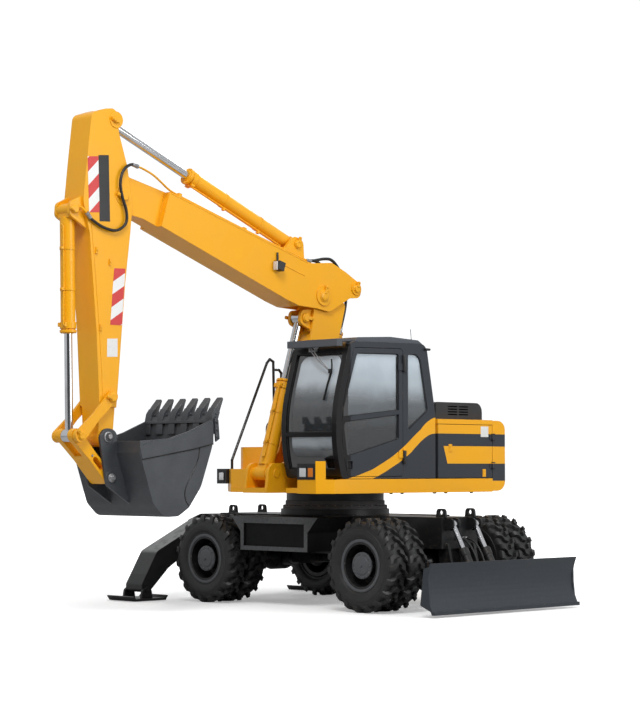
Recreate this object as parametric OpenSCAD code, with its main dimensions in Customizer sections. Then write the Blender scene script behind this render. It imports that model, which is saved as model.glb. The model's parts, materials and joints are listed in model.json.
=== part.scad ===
// Wheeled excavator: two-piece boom, front blade, rear stabilisers, twin tyres.
// +X is the chassis's blade end, +Y its left side, +Z up, ground at z = 0.
// The upper body stands slewed, so the boom reaches over the chassis's right side.

/* [Stance] */
// turn of the upper body about the slew axis
slew_deg = -90; // [-120:1:-60]
// slew axis from the origin, along the chassis
axis_x = -300; // [-400:5:-200]
// slew axis from the origin, across the chassis
axis_y = 1040; // [900:5:1200]
// lean of the lower boom, from forward
lower_deg = 97.2; // [85:0.1:100]
// rise of the upper boom
upper_deg = 16.75; // [8:0.05:26]
// direction of the dipper, from its boom pin to its bucket pin
dipper_deg = -85.5; // [-100:0.1:-70]
// direction of the bucket, from its pin to the tips of its teeth
bucket_deg = 162; // [150:0.5:175]

/* [Wheels] */
// distance between the axles
wheelbase = 2620; // [2500:10:2800]
// front axle ahead of the slew axis
front_axle = 1610; // [1550:10:1680]
// outside width over the tyres
overall_w = 2500; // [2480:10:2600]
// tyre diameter over the lugs
tyre_d = 1060; // [1000:10:1080]
// width of one tyre
tyre_w = 280; // [250:5:290]
// distance between the centres of twin tyres
twin_pitch = 315; // [300:5:330]
// diameter of the rim's flange
rim_d = 574; // [560:2:590]
// diameter of the planetary hub
hub_d = 260; // [220:5:280]

/* [Chassis] */
// height of the frame's top plate
frame_top = 1060; // [1040:5:1080]
// depth of the frame
frame_depth = 360; // [330:5:370]
// half width of the frame under the slew ring
frame_half = 560; // [520:5:580]
// diameter of the slew ring
ring_d = 1210; // [1100:10:1260]
// outer face of the side boxes, from the centre line
box_out = 1150; // [1000:10:1200]
// length of the side boxes at their foot
box_len = 1130; // [1000:10:1150]

/* [Blade] */
// width of the mouldboard
blade_w = 2520; // [2400:10:2600]
// height of the mouldboard
blade_h = 560; // [500:10:600]
// foremost edge of the blade, ahead of the slew axis
blade_x = 2760; // [2740:5:2820]
// height of the blade's foot at rest
blade_low = 30; // [20:5:60]
// distance of the two blade cylinders from the centre line
blade_ram_y = 190; // [180:5:210]

/* [Stabilisers] */
// position of the legs along the chassis
stab_x = -1900; // [-1950:10:-1890]
// leg pin from the centre line
stab_pin_y = 480; // [460:5:500]
// height of the leg pin
stab_pin_z = 900; // [880:5:920]
// foot's centre from the centre line
foot_y = 1530; // [1480:10:1600]
// length of the foot plate
foot_len = 480; // [420:10:520]

/* [Upper body] */
// underside of the deck
deck_z = 1330; // [1320:5:1350]
// top of the engine deck
body_top = 2208; // [2150:2:2260]
// half width of the upper body
half_w = 1235; // [1200:5:1260]
// radius of the tail
tail_r = 2130; // [2080:10:2200]
// joint between the engine bay and the counterweight, behind the slew axis
tail_line = 1500; // [1460:10:1540]
// height of the louvred hood
hood_h = 210; // [160:5:240]

/* [Cab] */
// inner side of the cab, from the boom's plane
cab_in = 330; // [310:5:360]
// wall thickness of the cab
cab_wall = 66; // [56:2:76]
// top of the cab's frame
cab_top = 3095; // [3000:5:3150]
// foremost reach of the bowed windscreen
cab_bow = 1290; // [1260:5:1310]
// rear edge of the cab at its foot
cab_rear = 460; // [440:5:470]
// hinge line of the cab door, ahead of the slew axis
door_hinge = 100; // [80:5:120]

/* [Boom] */
// lower boom, from foot pin to knee pin
lower_len = 1825; // [1750:5:1900]
// upper boom, from knee pin to dipper pin
upper_len = 3227; // [3100:1:3350]
// width of the upper boom
boom_w = 380; // [360:4:400]
// dipper, from boom pin to bucket pin
dipper_len = 2668; // [2600:1:2750]
// width of the dipper
dipper_w = 340; // [330:2:350]
// tipping lever, from dipper to link
lever_len = 598; // [580:1:610]
// link, from lever to bucket
link_len = 637; // [620:1:650]

/* [Bucket] */
// inside width of the bucket
bucket_w = 1100; // [900:10:1200]
// number of teeth
teeth = 6; // [4:1:7]
// thickness of the bucket's wrapper
bucket_t = 26; // [20:2:32]

/* [Hidden] */
$fn = 48;
foot = [620, 1880];
ram_base = [1180, 1560];
lift_eye = [lower_len - 296, -184];
knee_base = [495, 330];
knee_eye = [-502, 276];
arm_base = [546, 462];
arm_eye = [-819, 175];
tip_base = [250, 632];
lever_pin = [dipper_len - 432, 0];
link_pin = [-89, 439];
pin_gap = 0.5;
tyre_r = tyre_d / 2;
seat_r = rim_d / 2 - 25;
wheel_y = overall_w / 2 - tyre_w / 2 - twin_pitch / 2;
hub_in = 200;
knuckle_len = 152.5;
king_y = wheel_y - hub_in - knuckle_len;
bulge_r = frame_top - frame_depth - tyre_r - 2;
frame_low = frame_top - frame_depth;
ring_z = frame_top + 70;
deck_top = deck_z + 60;
floor_z = deck_z + 170;
stab_knee = [stab_pin_y + 810, 540];
nose_x = 2015;
blade_pin = [2030, 430];
blade_base = [blade_x - 320, blade_low + 300];
blade_eye = [2080, frame_top - 75];
leg_base = [130, 600];
leg_eye = [880, 545];
hood_axis = [-1475, body_top + 16];
hood_hinges = [-200, 860];
cab_out = half_w - 5;
cab_w = cab_out - cab_in;
door_axis_y = cab_out + 18;
side_axis_y = half_w + 13.5;
yellow = [0.95, 0.66, 0.08];
grey = [0.27, 0.29, 0.32];
dark = [0.12, 0.12, 0.13];
chrome = [0.8, 0.8, 0.82];

function unit(p) = p / norm(p);
function turned(p, a) = [p.x * cos(a) - p.y * sin(a), p.x * sin(a) + p.y * cos(a)];
function bearing(a, b) = atan2(b.y - a.y, b.x - a.x);
function meet(a, ra, b, rb) = let (d = norm(b - a), x = (ra * ra - rb * rb + d * d) / (2 * d),
  e = unit(b - a))
  a + e * x + sqrt(ra * ra - x * x) * [-e.y, e.x];
function corner(a, p, b, r, n) = let (u = unit(a - p), w = unit(b - p), h = acos(u * w) / 2,
  c = p + unit(u + w) * r / sin(h), s = p + u * r / tan(h) - c, e = p + w * r / tan(h) - c,
  t = atan2(s.y, s.x), d = atan2(e.y, e.x) - t, k = d > 180 ? d - 360 : d < -180 ? d + 360 : d)
  [for (i = [0:n]) c + r * [cos(t + k * i / n), sin(t + k * i / n)]];
function flat(q) = [q.x, q.y];
function rounded(pts, n = 5) = let (c = len(pts)) [for (i = [0:c - 1])
  each len(pts[i]) > 2 ? corner(flat(pts[(i + c - 1) % c]), flat(pts[i]), flat(pts[(i + 1) % c]),
    pts[i][2], n)
  : [flat(pts[i])]];
function normal(a, b) = let (e = unit(flat(b) - flat(a))) [-e.y, e.x];
function inner(pts, t) = let (c = len(pts)) [for (i = [0:c - 1])
  let (m = normal(pts[(i + c - 1) % c], pts[i]), n = normal(pts[i], pts[(i + 1) % c]),
  p = flat(pts[i]) + (m + n) * t / (1 + m * n))
  len(pts[i]) > 2 ? [p.x, p.y, max(2, pts[i][2] - t)] : p];

knee = foot + turned([lower_len, 0], lower_deg);
tip = knee + turned([upper_len, 0], upper_deg);
bucket_pin = tip + turned([dipper_len, 0], dipper_deg);
on_lower = function (p) foot + turned(p, lower_deg);
on_boom = function (p) knee + turned(p, upper_deg);
on_arm = function (p) tip + turned(p, dipper_deg);
on_bucket = function (p) bucket_pin + turned(p, bucket_deg);
lever_end = meet(on_arm(lever_pin), lever_len, on_bucket(link_pin), link_len);

module on_chassis() translate([axis_x, axis_y, 0]) children();
module on_upper() on_chassis() rotate([0, 0, slew_deg]) children();
module in_plane(p, a = 0) translate([p.x, 0, p.y]) rotate([90, 0, 0]) rotate([0, 0, a]) children();
module slab(pts, w, at = 0) translate([0, 0, at - w / 2]) linear_extrude(w) polygon(rounded(pts));
module pair(pts, t, gap) for (s = [-1, 1]) slab(pts, t, s * (gap + t) / 2);
module pin(p, r, w) translate([p.x, p.y, -w / 2]) cylinder(r = r, h = w);
module box(a, b) translate(a) cube(b - a);
module rod_to(a, b, r) let (d = b - a) translate(a)
  rotate([0, acos(d.z / norm(d)), atan2(d.y, d.x)]) cylinder(r = r, h = norm(d));
module along(p, q) in_plane(p, bearing(p, q)) children();
module barrel(l, r, er, w, pr, br) difference() {
  union() {
    pin([0, 0], er, w);
    translate([0, -er * 0.8, -w / 2]) cube([er + 20, er * 1.6, w]);
    translate([er + 8, 0, 0]) rotate([0, 90, 0]) cylinder(r = r, h = l - er - 8);
    translate([l - 90, 0, 0]) rotate([0, 90, 0]) cylinder(r = r * 1.12, h = 70);
  }
  pin([0, 0], pr + pin_gap, w + 2);
  translate([er + 30, 0, 0]) rotate([0, 90, 0]) cylinder(r = br + pin_gap, h = l);
}
module rod(l, len, r, er, w) {
  translate([l - len, 0, 0]) rotate([0, 90, 0]) cylinder(r = r, h = len - er * 0.7);
  pin([l, 0], er, w);
}

// wheels, axles, frame

module tyre(y) translate([0, y, 0]) rotate([-90, 0, 0]) rotate_extrude($fn = 72) let (h = tyre_w / 2)
  polygon(rounded([[seat_r + 0.3, -h * 0.64], [seat_r + 27, -h * 0.64], [seat_r + 50, -h * 0.86, 20],
    [tyre_r * 0.74, -h, 60],
  [tyre_r - 55, -h * 0.95, 30], [tyre_r, -h * 0.84, 14], [tyre_r, h * 0.84, 14], [tyre_r - 55, h * 0.95,
    30],
  [tyre_r * 0.74, h, 60], [seat_r + 50, h * 0.86, 20], [seat_r + 27, h * 0.64], [seat_r + 0.3, h * 0.64]],
    3));
module twin_tyres() for (s = [-1, 1]) tyre(s * twin_pitch / 2);
module twin_rims() rotate([-90, 0, 0]) rotate_extrude($fn = 72) let (a = twin_pitch / 2 - 106,
  b = twin_pitch / 2 + 110,
  f = rim_d / 2, h = hub_d / 2)
  polygon([[0, b - 28], [h - 14, b - 28], [h, b - 42], [h, 34], [seat_r - 22, 34], [seat_r - 22, b], [f,
    b], [f, b - 12],
  [seat_r, b - 18], [seat_r, a + 14], [f, a + 8], [f, a - 6], [seat_r, a - 12], [seat_r, 12 - a], [f,
    6 - a],
  [f, -a - 8], [seat_r, -a - 14], [seat_r, 18 - b], [f, 12 - b], [f, -b], [seat_r - 22, -b], [seat_r - 22,
    -34],
  [150, -34], [150, -hub_in], [0, -hub_in]]);
module at_wheel(x, s) on_chassis() translate([x, s * wheel_y, tyre_r]) rotate([0, 0,
  s < 0 ? 180 : 0]) children();
rear_axle_x = front_axle - wheelbase;

module front_left_tyres() color(dark) at_wheel(front_axle, 1) twin_tyres();
module front_right_tyres() color(dark) at_wheel(front_axle, -1) twin_tyres();
module rear_left_tyres() color(dark) at_wheel(rear_axle_x, 1) twin_tyres();
module rear_right_tyres() color(dark) at_wheel(rear_axle_x, -1) twin_tyres();
module front_left_rims() color(grey) at_wheel(front_axle, 1) twin_rims();
module front_right_rims() color(grey) at_wheel(front_axle, -1) twin_rims();
module rear_left_rims() color(grey) at_wheel(rear_axle_x, 1) twin_rims();
module rear_right_rims() color(grey) at_wheel(rear_axle_x, -1) twin_rims();

module axle_tube(pts) rotate([-90, 0, 0]) rotate_extrude() polygon(rounded(pts));
module front_axle_beam() color(dark) on_chassis() translate([front_axle, 0, tyre_r]) difference() {
  union() {
    axle_tube([[0, -king_y + 130], [95, -king_y + 130], [105, -300], [140, -200, 40], [bulge_r, -120, 40],
      [bulge_r, 120, 40],
      [140, 200, 40], [105, 300], [95, king_y - 130], [0, king_y - 130]]);
    rotate([0, -90, 0]) cylinder(r = 110, h = 340);
    rotate([0, 90, 0]) cylinder(r = 60, h = 280);
    for (s = [-1, 1]) {
      translate([-80, s * (king_y - 110) - 50, -240]) cube([160, 100, 480]);
      for (z = [-240, 172]) translate([-75, s * (king_y - 10) - 60, z]) cube([150, 120, 68]);
    }
  }
  for (s = [-1, 1]) translate([0, s * king_y, -300]) cylinder(r = 35 + pin_gap, h = 600);
}
module knuckle(s) on_chassis() translate([front_axle, s * king_y, tyre_r]) rotate([0, 0, s < 0 ? 180 : 0]) {
  translate([0, 0, -240]) cylinder(r = 35, h = 480);
  translate([0, 0, -165]) cylinder(r = 55, h = 330);
  rotate([-90, 0, 0]) cylinder(r = 90, h = 60);
  rotate([-90, 0, 0]) translate([0, 0, 40]) cylinder(r = 158, h = wheel_y - hub_in - king_y - 40.5);
}
module knuckle_left() color(dark) knuckle(1);
module knuckle_right() color(dark) knuckle(-1);
module rear_axle_beam() color(dark) on_chassis() translate([rear_axle_x, 0,
  tyre_r]) let (e = wheel_y - hub_in - 0.5) {
  axle_tube([[0, -e], [155, -e], [155, -e + 70], [115, -e + 90], [110, -300], [140, -200, 40], [bulge_r,
    -120, 40],
    [bulge_r, 120, 40], [140, 200, 40], [110, 300], [115, e - 90], [155, e - 70], [155, e], [0, e]]);
  for (s = [-1, 1]) translate([-110, s > 0 ? 270 : -390, 0]) cube([220, 120, frame_low - tyre_r]);
  rotate([0, 90, 0]) cylinder(r = 110, h = 300);
}
module driveline() color(dark) on_chassis() {
  translate([-560, -190, 470]) cube([330, 380, frame_low - 470]);
  translate([rear_axle_x + 300, 0, tyre_r]) rotate([0, 90, 0]) cylinder(r = 48,
    h = -560 - rear_axle_x - 300);
  translate([-230, 0, tyre_r]) rotate([0, 90, 0]) cylinder(r = 48, h = front_axle - 340 + 230);
}

module chassis_frame() color(dark) on_chassis() difference() {
  union() {
    translate([0, 0, frame_low]) linear_extrude(frame_depth) polygon([[-1640, -400], [-520, -400], [-380,
      -frame_half],
      [720, -frame_half], [960, -310], [nose_x, -310], [nose_x, 310], [960, 310], [720, frame_half],
        [-380, frame_half],
      [-520, 400], [-1640, 400]]);
    translate([0, 0, frame_top - 1]) cylinder(r = ring_d / 2 + 55, h = 71);
    for (x = [front_axle - 280, front_axle + 220]) translate([x, -160, tyre_r - 140]) cube([60, 320,
      frame_low - tyre_r + 141]);
    stab_bracket();
    blade_bracket();
    for (x = [-1560, 1960], s = [-1, 1]) translate([x, s * 250 - 15, frame_top - 1]) eye_plate();
  }
  translate([front_axle, 0, tyre_r]) rotate([0, -90, 0]) cylinder(r = 110.3, h = 400);
  translate([front_axle, 0, tyre_r]) rotate([0, 90, 0]) cylinder(r = 60.3, h = 400);
}
module eye_plate() difference() {
  rotate([90, 0, 0]) translate([0, 0, -30]) linear_extrude(30) polygon(rounded([[-75, 0], [75, 0], [62,
    100, 40], [-62, 100, 40]]));
  translate([0, -1, 55]) rotate([-90, 0, 0]) cylinder(r = 28, h = 32);
}
module across(x) translate([x, 0, 0]) rotate([90, 0, 90]) children();
module stab_bracket() {
  for (s = [-1, 1]) across(stab_x + s * 172) {
    slab([[-stab_pin_y - 90, stab_pin_z - 60, 40], [-stab_pin_y - 90, stab_pin_z + 60, 60], [-340,
      frame_top - 20, 60],
      [340, frame_top - 20, 60], [stab_pin_y + 90, stab_pin_z + 60, 60], [stab_pin_y + 90,
        stab_pin_z - 60, 40],
      [220, 530, 60], [-220, 530, 60]], 28);
    for (m = [-1, 1]) pin([m * stab_pin_y, stab_pin_z], 70, 34);
  }
  across(stab_x) for (m = [-1, 1]) {
    pin([m * stab_pin_y, stab_pin_z], 34, 370);
    pin([m * leg_base.x, leg_base.y], 26, 370);
  }
  translate([stab_x - 186, -320, frame_top - 48]) cube([372, 640, 28]);
  translate([stab_x + 158, -320, 600]) cube([-1640 - stab_x - 157, 640, frame_top - 620]);
}
module blade_bracket() {
  for (s = [-1, 1]) translate([0, s * 223, 0]) in_plane([0, 0])
    slab([[1900, frame_low + 60], [1900, frame_low - 60], [blade_pin.x - 60, blade_pin.y - 60, 50],
      [blade_pin.x + 75, blade_pin.y - 60, 60], [blade_pin.x + 75, blade_pin.y + 80, 60], [2040,
        frame_low + 60]], 36);
  for (s = [-1, 1]) translate([0, s * 253, 0]) in_plane(blade_pin) pin([0, 0], 38, 100);
  for (s = [-1, 1], m = [-1, 1]) translate([0, s * blade_ram_y + m * 53, 0]) in_plane([0, 0])
    slab([[nose_x - 20, frame_top], [nose_x - 20, frame_top - 160], [2060, blade_eye.y - 70, 30],
      [blade_eye.x + 62, blade_eye.y - 40, 50],
      [blade_eye.x + 62, blade_eye.y + 60, 50]], 24);
}
module slew_ring() color(grey) on_chassis() {
  translate([0, 0, ring_z]) cylinder(r = ring_d / 2 + 30, h = 40, $fn = 96);
  translate([0, 0, ring_z + 39]) cylinder(r = ring_d / 2, h = deck_z - ring_z - 139.5, $fn = 96);
}
module side_boxes() color(dark) on_chassis() let (f = box_len - 450) for (s = [-1, 1])
  translate([0, s > 0 ? box_out : -frame_half, 0]) rotate([90, 0, 0]) difference() {
    linear_extrude(box_out - frame_half) polygon(rounded([[-450, frame_low - 50], [f, frame_low - 50], [f,
      870], [f + 170, frame_top - 10],
      [-610, frame_top - 10], [-450, 870]], 3));
    for (z = s > 0 ? [-1] : [box_out - frame_half - 24]) translate([-400, frame_low, z]) cube([f + 350,
      270, 25]);
  }

// blade and stabilisers

function board(z) = 150 * pow(z / blade_h - 0.55, 2) * 1.9;
module blade() color(grey) on_chassis() difference() {
  let (x = blade_x - board(0) - 14) union() {
    translate([0, blade_w / 2, 0]) rotate([90, 0, 0]) linear_extrude(blade_w)
      polygon(concat([for (i = [0:10]) [x + board(blade_h * i / 10), blade_low + blade_h * i / 10]],
      [for (i = [10:-1:0]) [x - 26 + board(blade_h * i / 10), blade_low + blade_h * i / 10]]));
    for (z = [blade_low + 90, blade_low + 420]) box([x - 110, -blade_w / 2 + 60, z], [x - 10,
      blade_w / 2 - 60, z + 60]);
    box([x + board(0) - 30, -blade_w / 2, blade_low], [blade_x, blade_w / 2, blade_low + 40]);
    for (s = [-1, 1]) {
      translate([0, s * (blade_w / 2 - 12), 0]) in_plane([x, blade_low])
        slab([[-110, 100, 20], [40, 40], [14, blade_h * 0.5], [10, blade_h - 40, 15], [-60, blade_h - 60,
          30]], 24);
      translate([0, s * 265, 0]) in_plane([0, 0]) difference() {
        slab([[blade_pin.x - 68, blade_pin.y - 64, 60], [x - 60, blade_low + 80], [x - 60, blade_low + 420],
          [blade_pin.x + 200, blade_pin.y + 75], [blade_pin.x - 68, blade_pin.y + 64, 60]], 36, 0);
        pin(blade_pin, 38 + pin_gap, 100);
      }
      for (m = [-1, 1]) translate([0, s * blade_ram_y + m * 70, 0]) in_plane([0, 0])
        slab([[blade_base.x - 52, blade_base.y - 46, 40], [x - 20, blade_low + 180], [x - 20,
          blade_low + 460],
          [blade_base.x - 52, blade_base.y + 46, 40]], 22);
      translate([0, s * blade_ram_y, 0]) in_plane(blade_base) pin([0, 0], 26, 162);
    }
  }
}
module blade_barrels() color(dark) on_chassis() for (s = [-1, 1]) translate([0, s * blade_ram_y, 0])
  along(blade_base, blade_eye) barrel(430, 52, 46, 108, 26, 30);
module blade_rods() color(chrome) on_chassis() for (s = [-1, 1]) translate([0, s * blade_ram_y, 0])
  along(blade_base, blade_eye) rod(norm(blade_eye - blade_base), 480, 30, 44, 66);

leg_line = [[stab_pin_y - 80, stab_pin_z - 60, 70], [stab_knee.x - 130, stab_knee.y - 150, 140],
  [foot_y - 60, 105, 20],
  [foot_y + 60, 105, 40], [foot_y + 60, 200, 40], [stab_knee.x + 55, stab_knee.y + 60, 110],
  [stab_pin_y + 20, stab_pin_z + 95, 90], [stab_pin_y - 80, stab_pin_z + 70, 70]];
module stabilizer() difference() {
  union() {
    difference() {
      slab(leg_line, 300);
      slab([[100, 500], [stab_knee.x - 160, 200], [stab_knee.x + 20, stab_knee.y - 90], [stab_knee.x - 20,
        stab_knee.y + 10, 60],
        [stab_pin_y + 60, stab_pin_z + 30], [100, stab_pin_z + 30]], 220);
    }
    difference() {
      pin([stab_pin_y, stab_pin_z], 80, 300);
      pin([stab_pin_y, stab_pin_z], 100, 180);
    }
    for (m = [-1, 1]) translate([0, 0, m * 82]) slab([[leg_eye.x - 55, leg_eye.y - 40, 40],
      [leg_eye.x + 55, leg_eye.y - 40, 40],
      [leg_eye.x + 150, leg_eye.y + 150], [leg_eye.x - 150, leg_eye.y + 150]], 60);
    slab([[foot_y - foot_len / 2, 5], [foot_y + foot_len / 2, 5], [foot_y + foot_len / 2 + 40, 60],
      [foot_y + foot_len / 2 + 22, 66], [foot_y + foot_len / 2 - 12, 32], [foot_y - foot_len / 2 + 12, 32],
      [foot_y - foot_len / 2 - 22, 66], [foot_y - foot_len / 2 - 40, 60]], 500);
    for (m = [-1, 1]) slab([[foot_y - 90, 30], [foot_y + 90, 30], [foot_y + 70, 150, 50], [foot_y - 70,
      150, 50]], 30, m * 166);
    pin([foot_y, 140], 34, 380);
  }
  pin([stab_pin_y, stab_pin_z], 34 + pin_gap, 320);
}
module leg_side(s) on_chassis() translate([stab_x, 0, 0]) rotate([0, 0, s > 0 ? 0 : 180]) rotate([90, 0,
  90]) children();
module stabilizer_left() color(dark) leg_side(1) stabilizer();
module stabilizer_right() color(dark) leg_side(-1) stabilizer();
module leg_along() translate([leg_base.x, leg_base.y, 0]) rotate([0, 0, bearing(leg_base,
  leg_eye)]) children();
module leg_barrel() leg_along() barrel(540, 54, 46, 80, 26, 30);
module leg_rod() leg_along() rod(norm(leg_eye - leg_base), 640, 30, 44, 80);
module stabilizer_left_barrel() color(dark) leg_side(1) leg_barrel();
module stabilizer_right_barrel() color(dark) leg_side(-1) leg_barrel();
module stabilizer_left_rod() color(chrome) leg_side(1) leg_rod();
module stabilizer_right_rod() color(chrome) leg_side(-1) leg_rod();

// upper body

module bracket_side() slab([[180, deck_top - 1], [440, 1880, 150], [480, 2030, 90], [740, 2030, 130],
  [800, 1780, 200],
  [1060, 1680, 100], [1290, 1680, 110], [1330, deck_top - 1]], 42, 0);
module upper_frame() color(yellow) on_upper() {
  translate([0, 0, deck_z - 100]) cylinder(r = ring_d / 2 - 12, h = 101, $fn = 96);
  translate([0, 0, deck_z]) linear_extrude(deck_top - deck_z) polygon([[-tail_line, -half_w], [640,
    -half_w], [990, -800],
    [990, -430], [640, -430], [640, -202], [1340, -202], [1340, 202], [640, 202], [640, cab_in], [1150,
      cab_in],
    [1150, half_w], [-tail_line, half_w]]);
  for (s = [-1, 1]) translate([0, s * 181, 0]) in_plane([0, 0]) bracket_side();
  in_plane([0, 0]) {
    pin(foot, 55, 424);
    pin(ram_base, 48, 424);
    difference() { pin(ram_base, 78, 322); pin(ram_base, 100, 154); }
  }
  box([-tail_line, half_w - 60, deck_top - 1], [1150, half_w, floor_z - 6]);
  for (x = [-250, 900], y = [cab_in + 120, half_w - 180]) translate([x, y, deck_top - 1]) cylinder(r = 60,
    h = floor_z - deck_top + 1);
  difference() {
    translate([0, 0, deck_z]) linear_extrude(370) polygon([[1149, 800], [1420, 800], [1420, 1100], [1250,
      half_w], [1149, half_w]]);
    box([1330, 799, floor_z - 10], [1421, 1091, deck_z + 371]);
    box([1148, 799, floor_z - 10], [1331, half_w + 1, deck_z + 371]);
  }
}
module counterweight() color(yellow) on_upper() intersection() {
  rotate_extrude($fn = 128) polygon(rounded([[0, deck_z + 10], [tail_r, deck_z + 10, 120], [tail_r,
    body_top - 6, 110], [0, body_top - 6]]));
  box([-tail_r - 10, -half_w, deck_z], [-tail_line - 0.5, half_w, body_top + 10]);
}
module hood_knuckle(y, r, h) translate([hood_axis.x, y, hood_axis.y]) rotate([-90, 0, 0]) cylinder(r = r,
  h = h);
module engine_housing() color(yellow) on_upper() {
  difference() {
    union() {
      box([-tail_line, -425, body_top - 58], [-cab_rear - 36, half_w, body_top]);
      box([-cab_rear - 60, -425, deck_top], [-cab_rear - 36, half_w - 66, body_top - 57]);
    }
    box([-1430, -330, body_top - 60], [-640, 1060, body_top + 1]);
  }
  for (y = hood_hinges, k = [-1, 1]) {
    hood_knuckle(k > 0 ? y + 30 : y - 20, 7, 50);
    hood_knuckle(k > 0 ? y + 60.5 : y - 20.5, 13, 20);
    box([hood_axis.x - 13, k > 0 ? y + 60.5 : y - 20.5, body_top - 1], [hood_axis.x + 13,
      k > 0 ? y + 80.5 : y - 0.5, hood_axis.y]);
  }
}
module engine_hood() color(dark) on_upper() difference() {
  union() {
  translate([0, 1100, 0]) rotate([90, 0, 0]) linear_extrude(1470) polygon(rounded([[-1460, body_top + 0.4],
    [-610, body_top + 0.4], [-610, body_top + hood_h, 30], [-1460, body_top + hood_h, 110]]));
    for (y = hood_hinges) {
      hood_knuckle(y, 13, 60);
      box([hood_axis.x, y, hood_axis.y - 13], [-1459, y + 60, hood_axis.y + 13]);
    }
  }
  for (y = hood_hinges) hood_knuckle(y - 1, 7 + pin_gap, 62);
  box([-1425, -335, body_top], [-645, 1065, body_top + hood_h - 35]);
  for (i = [0, 1], j = [0:3]) box([-1010 + i * 200 - 190, 1060, body_top + 55 + j * 32],
    [-1010 + i * 200 - 20, 1101, body_top + 70 + j * 32]);
}
module engine() color(grey) on_upper() box([-1380, -250, deck_top], [-660, 760, body_top - 160]);
module left_service_door() color(grey) on_upper() {
  box([-tail_line + 8, half_w - 46, floor_z + 2], [-cab_rear - 44, half_w, body_top - 64]);
  for (z = [floor_z + 120, body_top - 240]) difference() {
    union() {
      translate([-tail_line + 12, side_axis_y, z]) cylinder(r = 13, h = 60);
      box([-tail_line + 12, half_w - 1, z], [-tail_line + 60, half_w + 8, z + 60]);
    }
    translate([-tail_line + 12, side_axis_y, z - 1]) cylinder(r = 7 + pin_gap, h = 62);
  }
}
module side_hinges() color(dark) on_upper() for (z = [floor_z + 120, body_top - 240], k = [-1, 1]) {
  translate([-tail_line + 12, side_axis_y, k > 0 ? z + 30 : z - 14]) cylinder(r = 7, h = 44);
  translate([-tail_line + 12, side_axis_y, k > 0 ? z + 60.5 : z - 14.5]) cylinder(r = 13, h = 14);
  box([-tail_line - 40, half_w, k > 0 ? z + 60.5 : z - 14.5], [-tail_line + 12, half_w + 9,
    k > 0 ? z + 74.5 : z - 0.5]);
}
module right_body() color(yellow) on_upper() difference() {
  translate([-tail_line, 0, 0]) rotate([90, 0, 90]) linear_extrude(tail_line) polygon(rounded([[-430,
    deck_top], [-430, body_top],
    [-half_w, body_top, 90], [-half_w, deck_top]]));
  box([-tail_line + 50, -half_w + 50, deck_top - 1], [-50, -480, body_top - 60]);
}
module right_front_box() color(yellow) on_upper() difference() {
  union() {
    translate([0, 0, deck_top]) linear_extrude(220) polygon([[0.3, -half_w], [640, -half_w], [985, -800],
      [985, -432], [0.3, -432]]);
    translate([0, 0, deck_top]) linear_extrude(490) polygon(rounded([[0.3, -half_w], [430, -half_w, 60],
      [520, -1100, 60], [520, -432], [0.3, -432]]));
  }
  translate([740, -1210, deck_top + 40]) cube([150, 170, 200]);
  box([40, -half_w + 45, deck_top - 1], [420, -480, deck_top + 440]);
}
module work_lamps() color(dark) on_upper() {
  box([740, -1210, deck_top + 40], [846, -1040.3, deck_top + 222]);
  box([1330, 802, floor_z - 10], [1424, 1091, floor_z + 172]);
}
module handrail() color(dark) on_upper() let (y = -1150, a = [650, y, deck_top + 220.3], b = [650, y,
  deck_top + 330], c = [60, y, 2940],
  d = [10, y, 2990], e = [-50, y, 2960], f = [-70, y, body_top + 0.3], g = [-60, y, 2860], h = [-150, y,
    2860], k = [-190, y, 2820],
  m = [-195, y, body_top + 0.3]) {
  for (q = [[a, b], [b, c], [c, d], [d, e], [e, f], [g, h], [h, k], [k, m]]) rod_to(q[0], q[1], 17);
  for (q = [b, c, d, e, h, k]) translate(q) sphere(r = 18.5);
}

// cab

cab_line = [[-cab_rear, floor_z], [1130, floor_z, 60], [cab_bow, floor_z + 580, 1700], [1000,
  cab_top - 20, 130],
  [-300, cab_top, 120], [-cab_rear, 2260]];
door_line = [[door_hinge + 12, floor_z + 26, 30], [1030, floor_z + 26, 40], [cab_bow - 110, floor_z + 580,
  1500],
  [930, cab_top - 90, 60], [door_hinge + 12, cab_top - 76, 40]];
module cab_side(pts, t, out = 0) translate([0, cab_out + out, 0]) rotate([90, 0,
  0]) linear_extrude(t) polygon(pts);
door_top = [[door_hinge + 75, 2300], [cab_bow - 190, 2205], [cab_bow - 190, 2300, 200], [880,
  cab_top - 150, 60], [door_hinge + 75, cab_top - 136, 30]];
door_low = [[door_hinge + 75, 1960, 30], [1040, floor_z + 250, 50], [cab_bow - 190, 2150, 60],
  [door_hinge + 75, 2250]];
quarter = [[20, 2060, 20], [20, cab_top - 130, 40], [-190, cab_top - 130, 120], [-330, 2300, 60]];
right_pane = [[-300, 2150, 60], [1080, 1800, 80], [cab_bow - 130, 2300, 300], [900, cab_top - 130, 80],
  [-210, cab_top - 130, 80]];
module cab_shell(t) translate([0, cab_out - t, 0]) rotate([90, 0,
  0]) linear_extrude(cab_w - 2 * t) polygon(rounded(inner(cab_line, t), 9));
module front_cut(z0, z1, e) box([880, cab_in + cab_wall + 10 + e, z0], [1500, cab_out - cab_wall - 10 - e,
  z1]);
glass_split = 2010;
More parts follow.
